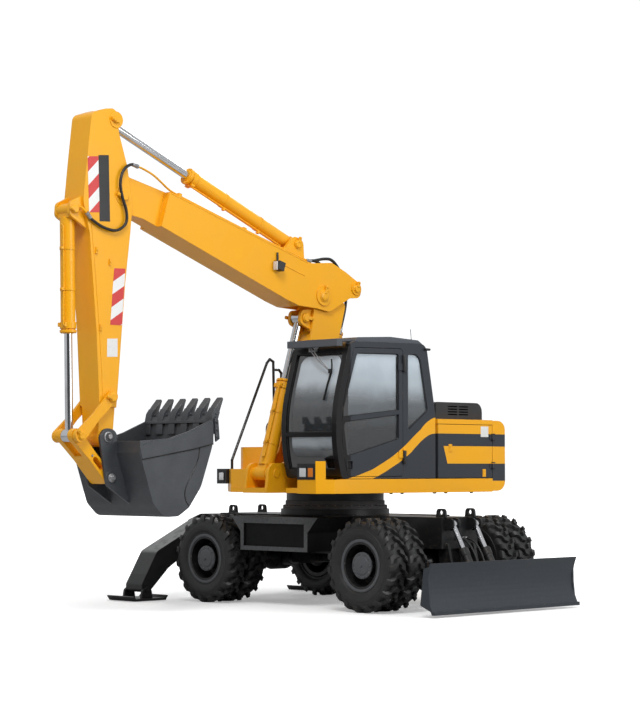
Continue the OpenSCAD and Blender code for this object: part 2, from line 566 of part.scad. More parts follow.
module cab_frame() color(grey) on_upper() {
  difference() {
    cab_shell(0);
    cab_shell(cab_wall);
    front_cut(floor_z + 110, glass_split - 20, 0);
    front_cut(glass_split + 20, cab_top - 150, 0);
    cab_side(rounded(inner(door_line, -6)), cab_wall + 20, 10);
    cab_side(rounded(quarter), cab_wall + 20, 10);
    translate([0, cab_in + cab_wall + 10, 0]) rotate([90, 0,
      0]) linear_extrude(cab_wall + 20) polygon(rounded(right_pane));
    box([-cab_rear - 10, cab_in + 130, 2330], [-150, cab_out - 130, cab_top - 190]);
  }
  for (z = [floor_z + 240, cab_top - 330], k = [-1, 1]) {
    translate([door_hinge, door_axis_y, k > 0 ? z + 40 : z - 16]) cylinder(r = 8, h = 56);
    translate([door_hinge, door_axis_y, k > 0 ? z + 80.5 : z - 16.5]) cylinder(r = 15, h = 16);
    box([door_hinge - 50, cab_out - 1, k > 0 ? z + 80.5 : z - 16.5], [door_hinge, cab_out + 12,
      k > 0 ? z + 96.5 : z - 0.5]);
  }
}
module cab_roof() color(dark) on_upper() {
  translate([0, cab_out - 20, 0]) rotate([90, 0, 0]) linear_extrude(cab_w - 40) polygon(rounded([[-250,
    cab_top - 0.4], [900, cab_top - 18.1],
    [860, cab_top + 34, 50], [300, cab_top + 62, 500], [-180, cab_top + 40, 40]]));
  box([1060, cab_in + 20, cab_top - 75], [1150, cab_out - 60, cab_top + 5]);
  for (y = [cab_in + 60, cab_out - 120]) box([860, y, cab_top - 17.5], [1100, y + 50, cab_top + 8]);
}
module pane(pts, y) translate([0, y, 0]) rotate([90, 0, 0]) linear_extrude(10) polygon(rounded(inner(pts,
  0.4)));
module cab_glass() color([0.5, 0.6, 0.65, 0.5]) on_upper() {
  for (w = [[floor_z + 110.4, glass_split - 20.4], [glass_split + 20.4, cab_top - 150.4]]) intersection() {
    difference() { cab_shell(24); cab_shell(34); }
    front_cut(w[0], w[1], 0.4);
  }
  pane(quarter, cab_out - 24);
  pane(right_pane, cab_in + 36);
  intersection() {
    difference() { cab_shell(24); cab_shell(34); }
    box([-cab_rear - 10, cab_in + 130.4, 2330.4], [-150, cab_out - 130.4, cab_top - 190.4]);
  }
}
module cab_door() color(grey) on_upper() difference() {
  union() {
    difference() {
      cab_side(rounded(door_line), cab_wall);
      cab_side(rounded(door_top), cab_wall + 20, 10);
      cab_side(rounded(door_low), cab_wall + 20, 10);
      translate([960, cab_out - 30, floor_z + 110]) cube([80, 31, 90]);
    }
    for (z = [floor_z + 240, cab_top - 330]) {
      translate([door_hinge, door_axis_y, z]) cylinder(r = 15, h = 80);
      box([door_hinge, cab_out + 0.5, z], [door_hinge + 90, cab_out + 12, z + 80]);
      box([door_hinge + 20, cab_out - 1, z], [door_hinge + 90, cab_out + 1, z + 80]);
    }
  }
  for (z = [floor_z + 240, cab_top - 330]) translate([door_hinge, door_axis_y,
    z - 1]) cylinder(r = 8 + pin_gap, h = 82);
}
module door_glass() color([0.5, 0.6, 0.65, 0.5]) on_upper() {
  pane(door_top, cab_out - 26);
  pane(door_low, cab_out - 26);
}
seat_y = (cab_in + cab_out) / 2;
module operator_seat() color(dark) on_upper() {
  box([60, seat_y - 190, floor_z + cab_wall], [480, seat_y + 190, floor_z + 330]);
  box([40, seat_y - 250, floor_z + 330], [560, seat_y + 250, floor_z + 450]);
  in_plane([0, 0]) slab([[-60, floor_z + 420, 40], [90, floor_z + 450, 30], [20, floor_z + 1080, 50],
    [-110, floor_z + 1070, 50]], 460, -seat_y);
}
module controls() color(dark) on_upper() {
  for (s = [-1, 1]) {
    box([120, seat_y + s * 320 - 55, floor_z + cab_wall], [620, seat_y + s * 320 + 55, floor_z + 560]);
    translate([560, seat_y + s * 320, floor_z + 559]) cylinder(r = 22, h = 170);
  }
  rod_to([900, seat_y, floor_z + cab_wall + 11], [760, seat_y, floor_z + 640], 45);
  translate([755, seat_y, floor_z + 650]) rotate([0, -12, 0]) rotate_extrude() translate([170,
    0]) circle(r = 16, $fn = 20);
  for (a = [0, 120, 240]) translate([755, seat_y, floor_z + 650]) rotate([0, -12, 0]) rotate([0, 0,
    a]) rotate([0, 90, 0]) cylinder(r = 12, h = 165);
}

// boom, dipper, bucket

module lower_boom() color(yellow) on_upper() in_plane(foot, lower_deg) difference() {
  union() {
    slab([[-150, -110, 110], [-150, 130, 110], [200, 190, 150], [453, 235, 300], [860, 264, 400],
      [lower_len - 345, 386, 60],
      [lower_len - 40, 430, 70], [lower_len + 165, 200, 130], [lower_len + 165, -90, 110],
        [lower_len - 100, -95, 60],
      [lower_len - 470, -95, 150], [lower_len - 800, -170, 250], [150, -170, 200]], 296);
    pair([[lift_eye.x - 130, -60], [lift_eye.x + 130, -60], [lift_eye.x + 80, lift_eye.y - 84, 70],
      [lift_eye.x - 80, lift_eye.y - 84, 70]], 44, 128);
    pair([[knee_base.x - 170, 150], [knee_base.x - 75, knee_base.y + 80, 70], [knee_base.x + 75,
      knee_base.y + 80, 70], [knee_base.x + 170, 150]], 40, 172);
    pin(knee_base, 38, 270);
    difference() { pin(lift_eye, 48, 236); pin(lift_eye, 60, 128); }
    pin([lower_len, 0], 60, 440);
  }
  pin([0, 0], 55 + pin_gap, 320);
  let (x = lift_eye.x, y = lift_eye.y) {
    slab([[x - 300, y - 200], [x - 300, y + 90], [x - 60, y + 165], [x + 110, y + 165], [x + 110,
      y - 200]], 128);
    slab([[x - 520, y - 116], [x - 520, y - 6], [x - 140, y + 142], [x - 140, y - 116]], 228);
  }
  slab([[knee_base.x + 480, 500], [knee_base.x + 480, 268], [lower_len - 300, 330], [lower_len - 300,
    500]], 184);
}
module upper_boom() color(yellow) on_upper() in_plane(knee, upper_deg) {
  difference() {
    let (l = upper_len) union() {
      slab([[-600, 190, 80], [-600, 350, 90], [-280, 410, 150], [-20, 435, 120], [311, 303, 250],
        [l - 600, 288, 500], [l - 30, 248, 120],
        [l + 170, 110, 140], [l + 170, -130, 140], [l - 160, -150, 100], [l - 380, -116, 300], [551, -250,
          300], [350, -250, 160],
        [60, -180, 140], [-160, -150, 120], [-440, 130, 120]], boom_w);
      pair([[arm_base.x - 190, 250], [arm_base.x + 230, 250], [arm_base.x + 80, arm_base.y + 76, 75],
        [arm_base.x - 80, arm_base.y + 76, 75]], 40, 204);
      pin(arm_base, 42, 300);
      for (s = [-1, 1]) translate([0, 0, s * (boom_w / 2 + 4)]) { pin([0, 0], 118, 22); pin(knee_eye, 78,
        22); }
    }
    pin([0, 0], 60 + pin_gap, 460);
    translate([-700, -400, -158]) cube([1000, 1000, 316]);
    pin([150, 0], 300, 316);
    for (z = [110, -310]) translate([upper_len - 600, -500, z]) cube([900, 1000, 200]);
    pin([upper_len, 0], 52 + pin_gap, 300);
  }
  difference() { pin(knee_eye, 70, boom_w - 10); pin(knee_eye, 80, 136); }
}
module boom_lamp() color(dark) on_upper() in_plane(knee, upper_deg) {
  box([780, 20, -boom_w / 2 - 90], [880, 120, -boom_w / 2]);
}
module dipper() color(yellow) on_upper() in_plane(tip, dipper_deg) difference() {
  let (l = dipper_len) union() {
    slab([[-940, 215, 70], [-915, 330, 80], [-832, 517, 90], [-329, 537, 300], [144, 550, 200], [486, 433,
      300], [1524, 251, 600],
      [l - 130, 112, 80], [l + 108, 90, 90], [l + 108, -95, 90], [l - 130, -95, 60], [965, -106], [391,
        -131, 300], [70, -136, 300],
      [-343, -23, 200], [-702, 130, 100], [-850, 118, 60]], dipper_w);
    pair([[tip_base.x - 200, 480], [tip_base.x - 70, tip_base.y + 68, 60], [tip_base.x + 70,
      tip_base.y + 68, 60], [tip_base.x + 190, 440]], 40, 190);
    pin(tip_base, 40, 286);
    pin([0, 0], 52, dipper_w + 24);
    pin([0, 0], 110, dipper_w + 14);
    pin(arm_eye, 92, dipper_w + 16);
    pin(lever_pin, 88, dipper_w + 12);
    pin(lever_pin, 44, 440);
    pin([l, 0], 108, 280);
  }
  difference() {
    union() {
      pin([0, 0], 268, 236);
      slab([[-230, 230], [-600, 230], [-900, -250], [640, -250], [265, 30]], 236);
    }
    pin([0, 0], 52, 240);
  }
  slab([[-1100, 400], [-640, 400], [-400, 60], [-400, -300], [-1100, -300]], 134);
  for (z = [140, -200]) translate([dipper_len - 330, -300, z]) cube([600, 700, 60]);
  pin([dipper_len, 0], 45 + pin_gap, 320);
}

shell = [[1215, 165], [1092, 440, 500], [780, 832, 400], [548, 990, 160], [370, 1032, 130], [175, 975,
  140], [72, 790, 160],
  [60, 200], [100, 80], [508, 182, 300], [803, 192]];
module bucket_inside() {
  slab(inner(shell, bucket_t), bucket_w);
  slab([[90 + bucket_t, 50], [70 + bucket_t, 240], [1040, 400], [1185 - bucket_t, 165], [1185 - bucket_t,
    0]], bucket_w);
}
module bucket() color(grey) on_upper() in_plane(bucket_pin, bucket_deg) difference() {
  let (w = bucket_w + 2 * bucket_t) union() {
    slab(shell, w);
    slab([[1130, 200], [1200, 130], [1232, 140], [1190, 300], [1130, 330]], w);
    for (i = [0:teeth - 1]) slab([[1180, 160], [1205, 100], [1290, 40], [1392, -18], [1400, 0], [1330,
      80], [1250, 190], [1200, 240]], 88,
      (i - (teeth - 1) / 2) * (w - 100) / (teeth - 1));
    pair([[-105, -40, 90], [0, -112, 100], [118, -40, 90], [150, 120], [120, 300], [125, 850], [-172, 500,
      40], [-165, 400, 60]], 30, 292);
    for (s = [-1, 1]) translate([0, 0, s * 166]) { pin([0, 0], 84, 24); pin(link_pin, 74, 24); }
    pin([0, 0], 45, 400);
  }
  bucket_inside();
}
module bucket_lever() color(yellow) on_upper() along(on_arm(lever_pin), lever_end) difference() {
  union() {
    pair([[-80, -70, 65], [lever_len * 0.5, -52], [lever_len + 76, -76, 70], [lever_len + 76, 76, 70],
      [lever_len * 0.5, 52], [-80, 70, 65]], 30, 364);
    difference() { pin([lever_len, 0], 40, 424); pin([lever_len, 0], 60, 128); }
    difference() { pin([lever_len, 0], 70, 366); pin([lever_len, 0], 90, 292); }
  }
  pin([0, 0], 44 + pin_gap, 460);
}
module bucket_link() color(yellow) on_upper() along(lever_end, on_bucket(link_pin)) difference() {
  union() {
    slab([[-78, -76, 70], [link_len * 0.5, -58], [link_len + 66, -70, 64], [link_len + 66, 70, 64],
      [link_len * 0.5, 58], [-78, 76, 70]], 280);
  }
  slab([[-200, -200], [250, -200], [250, 200], [-200, 200]], 128);
  slab([[330, -30, 28], [510, -30, 28], [510, 30, 28], [330, 30, 28]], 300);
  pin([0, 0], 40 + pin_gap, 320);
}

lift = [ram_base, on_lower(lift_eye)];
kneer = [on_lower(knee_base), on_boom(knee_eye)];
armr = [on_boom(arm_base), on_arm(arm_eye)];
tipr = [on_arm(tip_base), lever_end];
module ram(r) on_upper() along(r[0], r[1]) children();
module lift_barrel() color(yellow) ram(lift) barrel(1130, 92, 84, 150, 48, 52);
module lift_rod() color(chrome) ram(lift) rod(norm(lift[1] - lift[0]), 1160, 52, 80, 120);
module knee_barrel() color(yellow) ram(kneer) barrel(960, 72, 76, 164, 38, 42);
module knee_rod() color(chrome) ram(kneer) rod(norm(kneer[1] - kneer[0]), 1010, 42, 74, 122);
module dipper_barrel() color(yellow) ram(armr) barrel(1740, 86, 76, 196, 42, 48);
module dipper_rod() color(chrome) ram(armr) rod(norm(armr[1] - armr[0]), 1930, 48, 78, 124);
module bucket_barrel() color(yellow) ram(tipr) barrel(1310, 80, 70, 182, 40, 44);
module bucket_rod() color(chrome) ram(tipr) rod(norm(tipr[1] - tipr[0]), 1430, 44, 72, 118);

chassis_frame();
slew_ring();
front_axle_beam();
rear_axle_beam();
driveline();
side_boxes();
knuckle_left();
knuckle_right();
front_left_tyres();
front_right_tyres();
rear_left_tyres();
rear_right_tyres();
front_left_rims();
front_right_rims();
rear_left_rims();
rear_right_rims();
blade();
blade_barrels();
blade_rods();
stabilizer_left();
stabilizer_right();
stabilizer_left_barrel();
stabilizer_right_barrel();
stabilizer_left_rod();
stabilizer_right_rod();
upper_frame();
counterweight();
engine_housing();
engine_hood();
engine();
left_service_door();
side_hinges();
right_body();
right_front_box();
work_lamps();
handrail();
cab_frame();
cab_roof();
cab_glass();
operator_seat();
controls();
cab_door();
door_glass();
lower_boom();
upper_boom();
boom_lamp();
dipper();
bucket();
bucket_lever();
bucket_link();
lift_barrel();
lift_rod();
knee_barrel();
knee_rod();
dipper_barrel();
dipper_rod();
bucket_barrel();
bucket_rod();
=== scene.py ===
import json
import math

import bmesh
import bpy
from mathutils import Matrix, Vector

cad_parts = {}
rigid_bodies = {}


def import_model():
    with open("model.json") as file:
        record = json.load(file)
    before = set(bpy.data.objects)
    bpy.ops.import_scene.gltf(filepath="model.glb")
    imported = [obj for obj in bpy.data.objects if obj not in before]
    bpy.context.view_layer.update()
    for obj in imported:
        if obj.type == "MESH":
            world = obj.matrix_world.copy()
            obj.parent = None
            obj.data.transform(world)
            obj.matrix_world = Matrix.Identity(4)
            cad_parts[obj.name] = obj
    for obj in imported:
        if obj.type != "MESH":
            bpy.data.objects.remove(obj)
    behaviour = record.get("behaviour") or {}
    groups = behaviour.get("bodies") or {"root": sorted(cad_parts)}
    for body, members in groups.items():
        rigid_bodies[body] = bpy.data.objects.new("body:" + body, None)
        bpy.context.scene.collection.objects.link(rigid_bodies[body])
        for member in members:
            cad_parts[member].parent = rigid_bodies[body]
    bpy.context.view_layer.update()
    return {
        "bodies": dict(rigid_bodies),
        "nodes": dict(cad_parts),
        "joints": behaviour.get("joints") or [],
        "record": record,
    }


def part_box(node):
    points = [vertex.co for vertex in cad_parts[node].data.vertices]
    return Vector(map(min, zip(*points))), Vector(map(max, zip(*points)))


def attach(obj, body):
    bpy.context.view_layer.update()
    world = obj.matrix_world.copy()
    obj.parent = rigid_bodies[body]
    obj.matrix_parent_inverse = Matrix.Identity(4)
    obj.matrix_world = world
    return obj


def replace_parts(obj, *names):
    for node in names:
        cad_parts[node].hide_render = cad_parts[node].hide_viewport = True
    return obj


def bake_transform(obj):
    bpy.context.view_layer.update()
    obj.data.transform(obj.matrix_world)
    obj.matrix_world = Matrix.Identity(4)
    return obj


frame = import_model()
nodes = frame["nodes"]
joints = {joint["name"]: joint for joint in frame["joints"]}
scene = bpy.context.scene
print("frame loaded:", len(nodes), "nodes")

# the upper body stands turned on the chassis: forward is -Y, its left is +X
forward, left, upward = Vector((0, -1, 0)), Vector((1, 0, 0)), Vector((0, 0, 1))
square = [(-1, -1), (1, -1), (1, 1), (-1, 1)]


def pinAt(name):
    return Vector(joints[name]["pos_m"])


slewAt = pinAt("slew")
chassisAt = Vector((slewAt.x, slewAt.y, 0))


def up(u, v, z):  # a point of the upper body, forward and left of the slew axis
    return chassisAt + forward * u + left * v + upward * z


def frameOf(at, x, y, z):
    m = Matrix((x, y, z)).transposed().to_4x4()
    m.translation = at
    return m


def planeFrame(at, along):  # x along a boom, y across it in the boom's plane, z to the machine's left
    x = along.normalized()
    return frameOf(at, x, x.cross(left), left)


def facing(at, normal):  # z out of a surface
    z = normal.normalized()
    x = upward.cross(z)
    x = x.normalized() if x.length > 1e-4 else z.orthogonal().normalized()
    return frameOf(at, x, z.cross(x), z)


footPin, kneePin, tipPin = (pinAt(name) for name in ("boom_lift", "boom_knee", "dipper_swing"))
bucketPin, leverPin, leverEnd = (pinAt(name) for name in ("bucket_curl", "lever_pivot", "link_pivot"))
bucketLean = math.radians(162)
upperFrame = frameOf(chassisAt, forward, left, upward)
lowerFrame = planeFrame(footPin, kneePin - footPin)
boomFrame = planeFrame(kneePin, tipPin - kneePin)
dipperFrame = planeFrame(tipPin, bucketPin - tipPin)
bucketFrame = planeFrame(bucketPin, forward * math.cos(bucketLean) + upward * math.sin(bucketLean))


class Sock:
    # one socket of a material; expressions on it add Math, Vector Math or Mix nodes
    def __init__(self, tree, socket):
        self.tree, self.socket = tree, socket

    def make(self, kind, settings=None, sockets=None, out=0):
        node = self.tree.nodes.new("ShaderNode" + kind)
        for key, value in (settings or {}).items():
            setattr(node, key, value)
        for key, value in (sockets or {}).items():
            target = node.inputs[key]
            if isinstance(value, Sock):
                self.tree.links.new(value.socket, target)
            else:
                target.default_value = value
        return Sock(self.tree, node.outputs[out])

    def maths(self, operation, a, b):
        vector = any(isinstance(x, Sock) and x.socket.type == "VECTOR" for x in (a, b))
        return self.make("VectorMath" if vector else "Math", {"operation": operation}, {0: a, 1: b})

    def op(self, name, other=0.0):
        return self.maths(name, self, other)

    def __add__(self, other): return self.op("ADD", other)
    def __sub__(self, other): return self.op("SUBTRACT", other)
    def __rsub__(self, other): return self.maths("SUBTRACT", other, self)
    def __mul__(self, other): return self.op("MULTIPLY", other)
    def __truediv__(self, other): return self.op("DIVIDE", other)
    def __pow__(self, other): return self.op("POWER", other)
    def __gt__(self, other): return self.op("GREATER_THAN", other)
    def __lt__(self, other): return self.op("LESS_THAN", other)

    def mix(self, a, b):  # this value is the share of b
        return self.make("Mix", {"data_type": "RGBA"}, {0: self, 6: a, 7: b}, 2)

    def part(self, name):  # one axis of a vector
        return self.make("SeparateXYZ", None, {0: self}, "XYZ".index(name))

    def dot(self, other):
        return self.make("VectorMath", {"operation": "DOT_PRODUCT"}, {0: self, 1: other}, "Value")

    def noise(self, scale, detail=3.0, rough=0.55):
        settings = {"Vector": self, "Scale": scale, "Detail": detail, "Roughness": rough}
        return self.make("TexNoise", None, settings)

    def ramp(self, low, high):  # 0 under low, 1 over high
        return self.make("MapRange", {"clamp": True}, {0: self, 1: low, 2: high})

    def patches(self, scale, low, high, detail=5):
        return self.noise(scale, detail).ramp(low, high)

    def tones(self, stops, interpolation):  # grey by this value, through given stops
        grey = self.make("ValToRGB", None, {0: self})
        ramp = grey.socket.node.color_ramp
        ramp.interpolation = interpolation
        while len(ramp.elements) < len(stops):
            ramp.elements.new(0.5)
        for stop, (at, tone) in zip(ramp.elements, stops):
            stop.position, stop.color = at, rgb(tone, tone, tone)
        return grey

    def bump(self, height, depth):
        return self.make("Bump", None, {"Height": height, "Strength": 1.0, "Distance": depth})


def rgb(r, g, b):
    return (r, g, b, 1.0)


def times(colour, factor):
    return rgb(*(c * factor for c in colour[:3]))


class Finish:
    # a material with its shader and its place on the part
    def __init__(self, name, **constants):
        self.material = bpy.data.materials.new(name)
        self.material.use_nodes = True
        tree = self.material.node_tree
        self.tree, self.shader = tree, tree.nodes["Principled BSDF"]
        for key, value in constants.items():
            self.shader.inputs[key.replace("_", " ")].default_value = value
        self.at = Sock(tree, tree.nodes.new("ShaderNodeTexCoord").outputs["Object"])

    def normal(self):
        return self.at.make("NewGeometry", None, None, "Normal")

    def rounded(self, width):
        return self.at.make("Bevel", {"samples": 4}, {"Radius": width})

    def edge(self, width):  # 1 on outer edges, 0 on flat faces
        return (1 - self.rounded(width).dot(self.normal())).ramp(0.02, 0.12)

    def rough(self, height, strength, depth, width):  # a bumpy face with eased edges
        return self.at.make("Bump", None, {"Height": height, "Strength": strength, "Distance": depth,
                                           "Normal": self.rounded(width)})

    def feed(self, **sockets):
        for key, value in sockets.items():
            self.tree.links.new(value.socket, self.shader.inputs[key.replace("_", " ")])
        return self.material


yellow, slate, blackTone = rgb(0.93, 0.425, 0.003), rgb(0.034, 0.039, 0.048), rgb(0.011, 0.0115, 0.0125)
paint = {
    "peelScale": 260, "peelDepth": 0.00012, "edgeRound": 0.007, "roughLow": 0.3, "roughHigh": 0.44,
    "dustTop": 1.1, "dust": rgb(0.17, 0.13, 0.095), "rubbed": rgb(0.75, 0.62, 0.42),
}


def enamel(name, coat=0.16):
    return Finish(name, Coat_Weight=coat, Coat_Roughness=0.1, Specular_IOR_Level=0.28)


def paintCoat(finish, colour, dust=0.35):
    # enamel with orange peel, a little worn and dusty low down
    at = finish.at
    cloud = at.noise(1.7, 5)
    grime = at.noise(23, 6, 0.65).ramp(0.52, 0.75)
    low = (paint["dustTop"] - at.part("Z")).ramp(0, paint["dustTop"])
    dusty = grime * low * dust + cloud.ramp(0.5, 0.9) * 0.03
    faded = at.make("HueSaturation", None, {"Saturation": 0.96, "Value": 0.9, "Color": colour})
    tinted = (cloud.ramp(0.3, 0.7) * 0.35).mix(colour, faded)
    wearAndPaintedLight = finish.edge(paint["edgeRound"]) * at.patches(9, 0.52, 0.7)
    rough = at.noise(6, 4) * (paint["roughHigh"] - paint["roughLow"]) + paint["roughLow"] + dusty * 0.4
    peel = finish.rough(at.noise(paint["peelScale"], 2), 0.5, paint["peelDepth"], paint["edgeRound"])
    return finish.feed(Base_Color=(wearAndPaintedLight * 0.22).mix(dusty.mix(tinted, paint["dust"]), paint["rubbed"]),
                       Roughness=rough, Normal=peel)


def plainPaint(name, colour, coat=0.16, dust=0.35):
    return paintCoat(enamel(name, coat), colour, dust)


# heights of the bands, then the sweep's upper and lower edge as forward and up
livery = {
    "belt": 1.465, "lowTop": 1.675, "panelTop": 1.885, "stripeTop": 2.035, "panelFront": -0.6,
    "panelLean": 0.33, "cabRear": -0.5, "blackFront": 0.985, "black": rgb(0.006, 0.006, 0.007),
    "high": [(-0.5, 2.235), (-0.36, 2.205), (-0.2, 2.09), (0.05, 1.895), (0.32, 1.735), (0.62, 1.61),
        (1.06, 1.475)],
    "low": [(-0.5, 2.035), (-0.36, 2.03), (-0.2, 1.94), (-0.04, 1.81), (0.16, 1.69), (0.4, 1.585),
        (0.68, 1.465)],
}


def curveOf(value, points):  # a smooth curve through given points, as a ramp of grey
    lo, hi, tall = points[0][0], points[-1][0], 4
    stops = [((x - lo) / (hi - lo), z / tall) for x, z in points]
    grey = value.ramp(lo, hi).tones(stops, "B_SPLINE")
    return grey.make("SeparateColor", None, {0: grey}) * tall


def liveryPaint(name):
    # yellow and slate bands along the sides, rising behind the cab door as one sweep
    finish = enamel(name)
    u, z = slewAt.y - finish.at.part("Y"), finish.at.part("Z")
    onCab = u > livery["cabRear"]
    sweep = (z < curveOf(u, livery["high"])) * (z > curveOf(u, livery["low"]))
    panel = (z > livery["lowTop"]) * (z < livery["panelTop"])
    panel = panel * (u < (z - livery["panelTop"]) * livery["panelLean"] + livery["panelFront"])
    tail = (panel + (z > livery["stripeTop"])).op("MINIMUM", 1.0)
    bright = (onCab * sweep + (1 - onCab) * tail).op("MAXIMUM", z < livery["belt"])
    dark = (u > livery["blackFront"]).mix(slate, livery["black"])
    return paintCoat(finish, bright.mix(dark, yellow))


deck = {"neck": 0.0995, "dark": rgb(0.02, 0.022, 0.026)}


def deckPaint(name):
    # yellow deck on the dark neck that turns in the slew ring
    finish = enamel(name)
    neck = finish.at.part("Z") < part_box("upper_frame")[0][2] + deck["neck"]
    return paintCoat(finish, neck.mix(yellow, deck["dark"]))


def steelFinish(name, colour, rough, scratch=0.5, metal=0.0, dust=0.4):
    # working steel: scuffed faces, bright rubbed edges
    finish = Finish(name)
    at = finish.at
    streak = (at * (1.0, 1.0, 9.0)).noise(14, 6, 0.7)
    scuff = streak.ramp(0.55, 0.72) * at.patches(2.3, 0.4, 0.7, 4)
    edge = finish.edge(0.008) * at.patches(7, 0.42, 0.62)
    bare = (scuff * scratch + edge * 0.75).ramp(0, 1)
    base = at.patches(3, 0.3, 0.75).mix(colour, times(colour, 0.62))
    low = (0.9 - at.part("Z")).ramp(0, 0.9) * at.patches(11, 0.42, 0.75, 6) * dust
    dirty = low.mix(base, rgb(0.16, 0.125, 0.095))
    return finish.feed(Base_Color=(bare * 0.5).mix(dirty, rgb(0.24, 0.24, 0.25)),
                       Roughness=at.noise(17, 5) * 0.2 + rough - bare * 0.12, Metallic=bare * 0.6 + metal,
                       Normal=finish.rough(at.noise(90, 5, 0.7), 0.45, 0.0006, 0.008))


def chromeFinish(name):
    finish = Finish(name, Metallic=1.0)
    smear = finish.at.patches(5, 0.45, 0.8)
    return finish.feed(Base_Color=smear.mix(rgb(0.7, 0.71, 0.73), rgb(0.5, 0.5, 0.5)),
                       Roughness=smear * 0.06 + 0.09)


def rubberFinish(name, tone=0.014, dust=0.5):
    finish = Finish(name)
    at = finish.at
    fine = at.noise(120, 4, 0.7)
    mud = at.patches(8, 0.45, 0.78, 6) * dust
    return finish.feed(Base_Color=mud.mix(rgb(tone, tone, tone * 1.04), rgb(0.04, 0.038, 0.036)),
                       Roughness=mud * 0.2 + 0.42 + fine * 0.1, Normal=at.bump(fine, 0.0008))


def plasticFinish(name, tone=0.016, rough=0.5):
    finish = Finish(name)
    at = finish.at
    grain = at.make("TexVoronoi", None, {"Vector": at, "Scale": 420.0})
    pale = rgb(tone * 1.7, tone * 1.7, tone * 1.8)
    return finish.feed(Base_Color=at.patches(4, 0.3, 0.8, 4).mix(rgb(tone, tone, tone * 1.1), pale),
                       Roughness=at.noise(30, 4) * 0.16 + rough - 0.08, Normal=at.bump(grain, 0.0005))


# painted sky reflection tones run from the lowest glass to the highest, darker low and paler high; sides and
# heights bound the clear windscreen
screen = {
    "low": 1.6, "high": 2.95,
    "tones": [(0, 0.01), (0.1, 0.02), (0.16, 0.14), (0.23, 0.6), (0.29, 0.75), (0.31, 0.05),
        (0.5, 0.06), (0.62, 0.13), (0.8, 0.85), (1.0, 1.0)],
    "sideReflectionTones": [(0, 0.02), (0.34, 0.04), (0.55, 0.18), (0.8, 0.72), (1.0, 0.95)], "front": 1.0,
    "sides": (0.478, 1.138), "heights": (1.745, 2.915), "corner": 0.11, "nearest": 0.395,
    "cool": rgb(0.8, 0.91, 1.0), "band": rgb(0.004, 0.004, 0.005),
}


def glassFinish(name, cover):
    # tinted panes with a painted sky reflection, paler towards the top, and a black band printed round the
    # windscreen
    finish = Finish(name, Coat_Weight=1.0, Coat_Roughness=0.01, Specular_IOR_Level=0.9)
    at = finish.at
    u, v, z = slewAt.y - at.part("Y"), at.part("X") - slewAt.x, at.part("Z")
    smear = at.patches(2.4, 0.4, 0.85)
    height = z.ramp(screen["low"], screen["high"]) + smear * 0.05
    ahead = (u > screen["front"]) * (v > screen["nearest"])
    # painted reflection: the pane colour follows height through the tones, standing in for the sky reflected
    # in the glass
    paintedSkyReflection = ahead.mix(*(height.tones(screen[key], "EASE") for key in ("sideReflectionTones", "tones")))
    past = []
    for value, (low, high) in ((v, screen["sides"]), (z, screen["heights"])):
        far = (value - (low + high) / 2).op("ABSOLUTE") - ((high - low) / 2 - screen["corner"])
        past.append(far.op("MAXIMUM"))
    band = ((past[0] * past[0] + past[1] * past[1]) ** 0.5 > screen["corner"]) * ahead
    multiply = {"data_type": "RGBA", "blend_type": "MULTIPLY"}
    cool = paintedSkyReflection.make("Mix", multiply, {0: 1.0, 6: paintedSkyReflection, 7: screen["cool"]}, 2)
    return finish.feed(Base_Color=band.mix(cool, screen["band"]), Roughness=smear * 0.05 + 0.02,
                       Alpha=(smear * 0.08 + cover + band).ramp(0, 1))


def fabricFinish(name, colour):
    finish = Finish(name, Sheen_Weight=0.3)
    at, threads = finish.at, 1900
    warp = (at.part("X") * threads).op("SINE")
    weave = warp * ((at.part("Z") + at.part("Y")) * threads).op("SINE")
    return finish.feed(Base_Color=weave.ramp(-1, 1).mix(colour, times(colour, 1.9)),
                       Roughness=at.noise(40, 4) * 0.1 + 0.82, Normal=at.bump(weave, 0.0006))


def stripeFinish(name, slope, period, shift):
    # red and white hazard bands, slanting across the plate
    finish = Finish(name, Coat_Weight=0.3)
    at = finish.at
    slant = ((at.part("Z") - at.part("Y") * slope) / period + shift).op("FRACT")
    wear = at.patches(35, 0.62, 0.8, 6)
    colour = (slant > 0.5).mix(rgb(0.83, 0.83, 0.82), rgb(0.62, 0.02, 0.018))
    return finish.feed(Base_Color=(wear * 0.25).mix(colour, rgb(0.5, 0.42, 0.36)),
                       Roughness=wear * 0.3 + 0.33)


def framedFinish(name):
    # side boxes: the outer rim is a patchy lighter grey, the recessed face stays black
    finish = Finish(name, Specular_IOR_Level=0.15)
    at, rimOut = finish.at, 1.14
    out = (at.part("Y") - slewAt.y).op("ABSOLUTE")
    rimMottle = at.patches(26, 0.3, 0.7)
    grey = rimMottle.mix(rgb(0.105, 0.108, 0.11), rgb(0.075, 0.077, 0.08))
    black = at.patches(5, 0.3, 0.7).mix(rgb(0.002, 0.002, 0.002), rgb(0.005, 0.005, 0.005))
    return finish.feed(Base_Color=(out > rimOut).mix(black, grey), Roughness=rimMottle * 0.15 + 0.42,
                       Normal=at.bump(at.noise(150, 3), 0.0002))


def litTopFinish(name):
    # black legs; faces that look up, above the foot, are painted lighter grey in patches, as painted light
    # from above
    finish = Finish(name, Coat_Weight=0.15)
    at, footTop = finish.at, 0.32
    face = finish.normal().part("Z").ramp(0.5, 0.72)
    # painted highlight: up-facing faces above the foot turn lighter grey
    wearAndPaintedLight = face * (at.part("Z") > footTop) * at.patches(9, 0.2, 0.5)
    black = at.patches(5, 0.3, 0.7).mix(blackTone, rgb(0.02, 0.0205, 0.0215))
    return finish.feed(Base_Color=wearAndPaintedLight.mix(black, rgb(0.16, 0.165, 0.165)),
                       Roughness=at.noise(20, 4) * 0.15 + 0.4, Normal=at.bump(at.noise(150, 3), 0.0003))


def labelFinish(name, colour):
    finish = Finish(name)
    wear = finish.at.patches(45, 0.55, 0.8)
    return finish.feed(Base_Color=(wear * 0.3).mix(colour, rgb(0.45, 0.43, 0.4)),
                       Roughness=wear * 0.2 + 0.4)


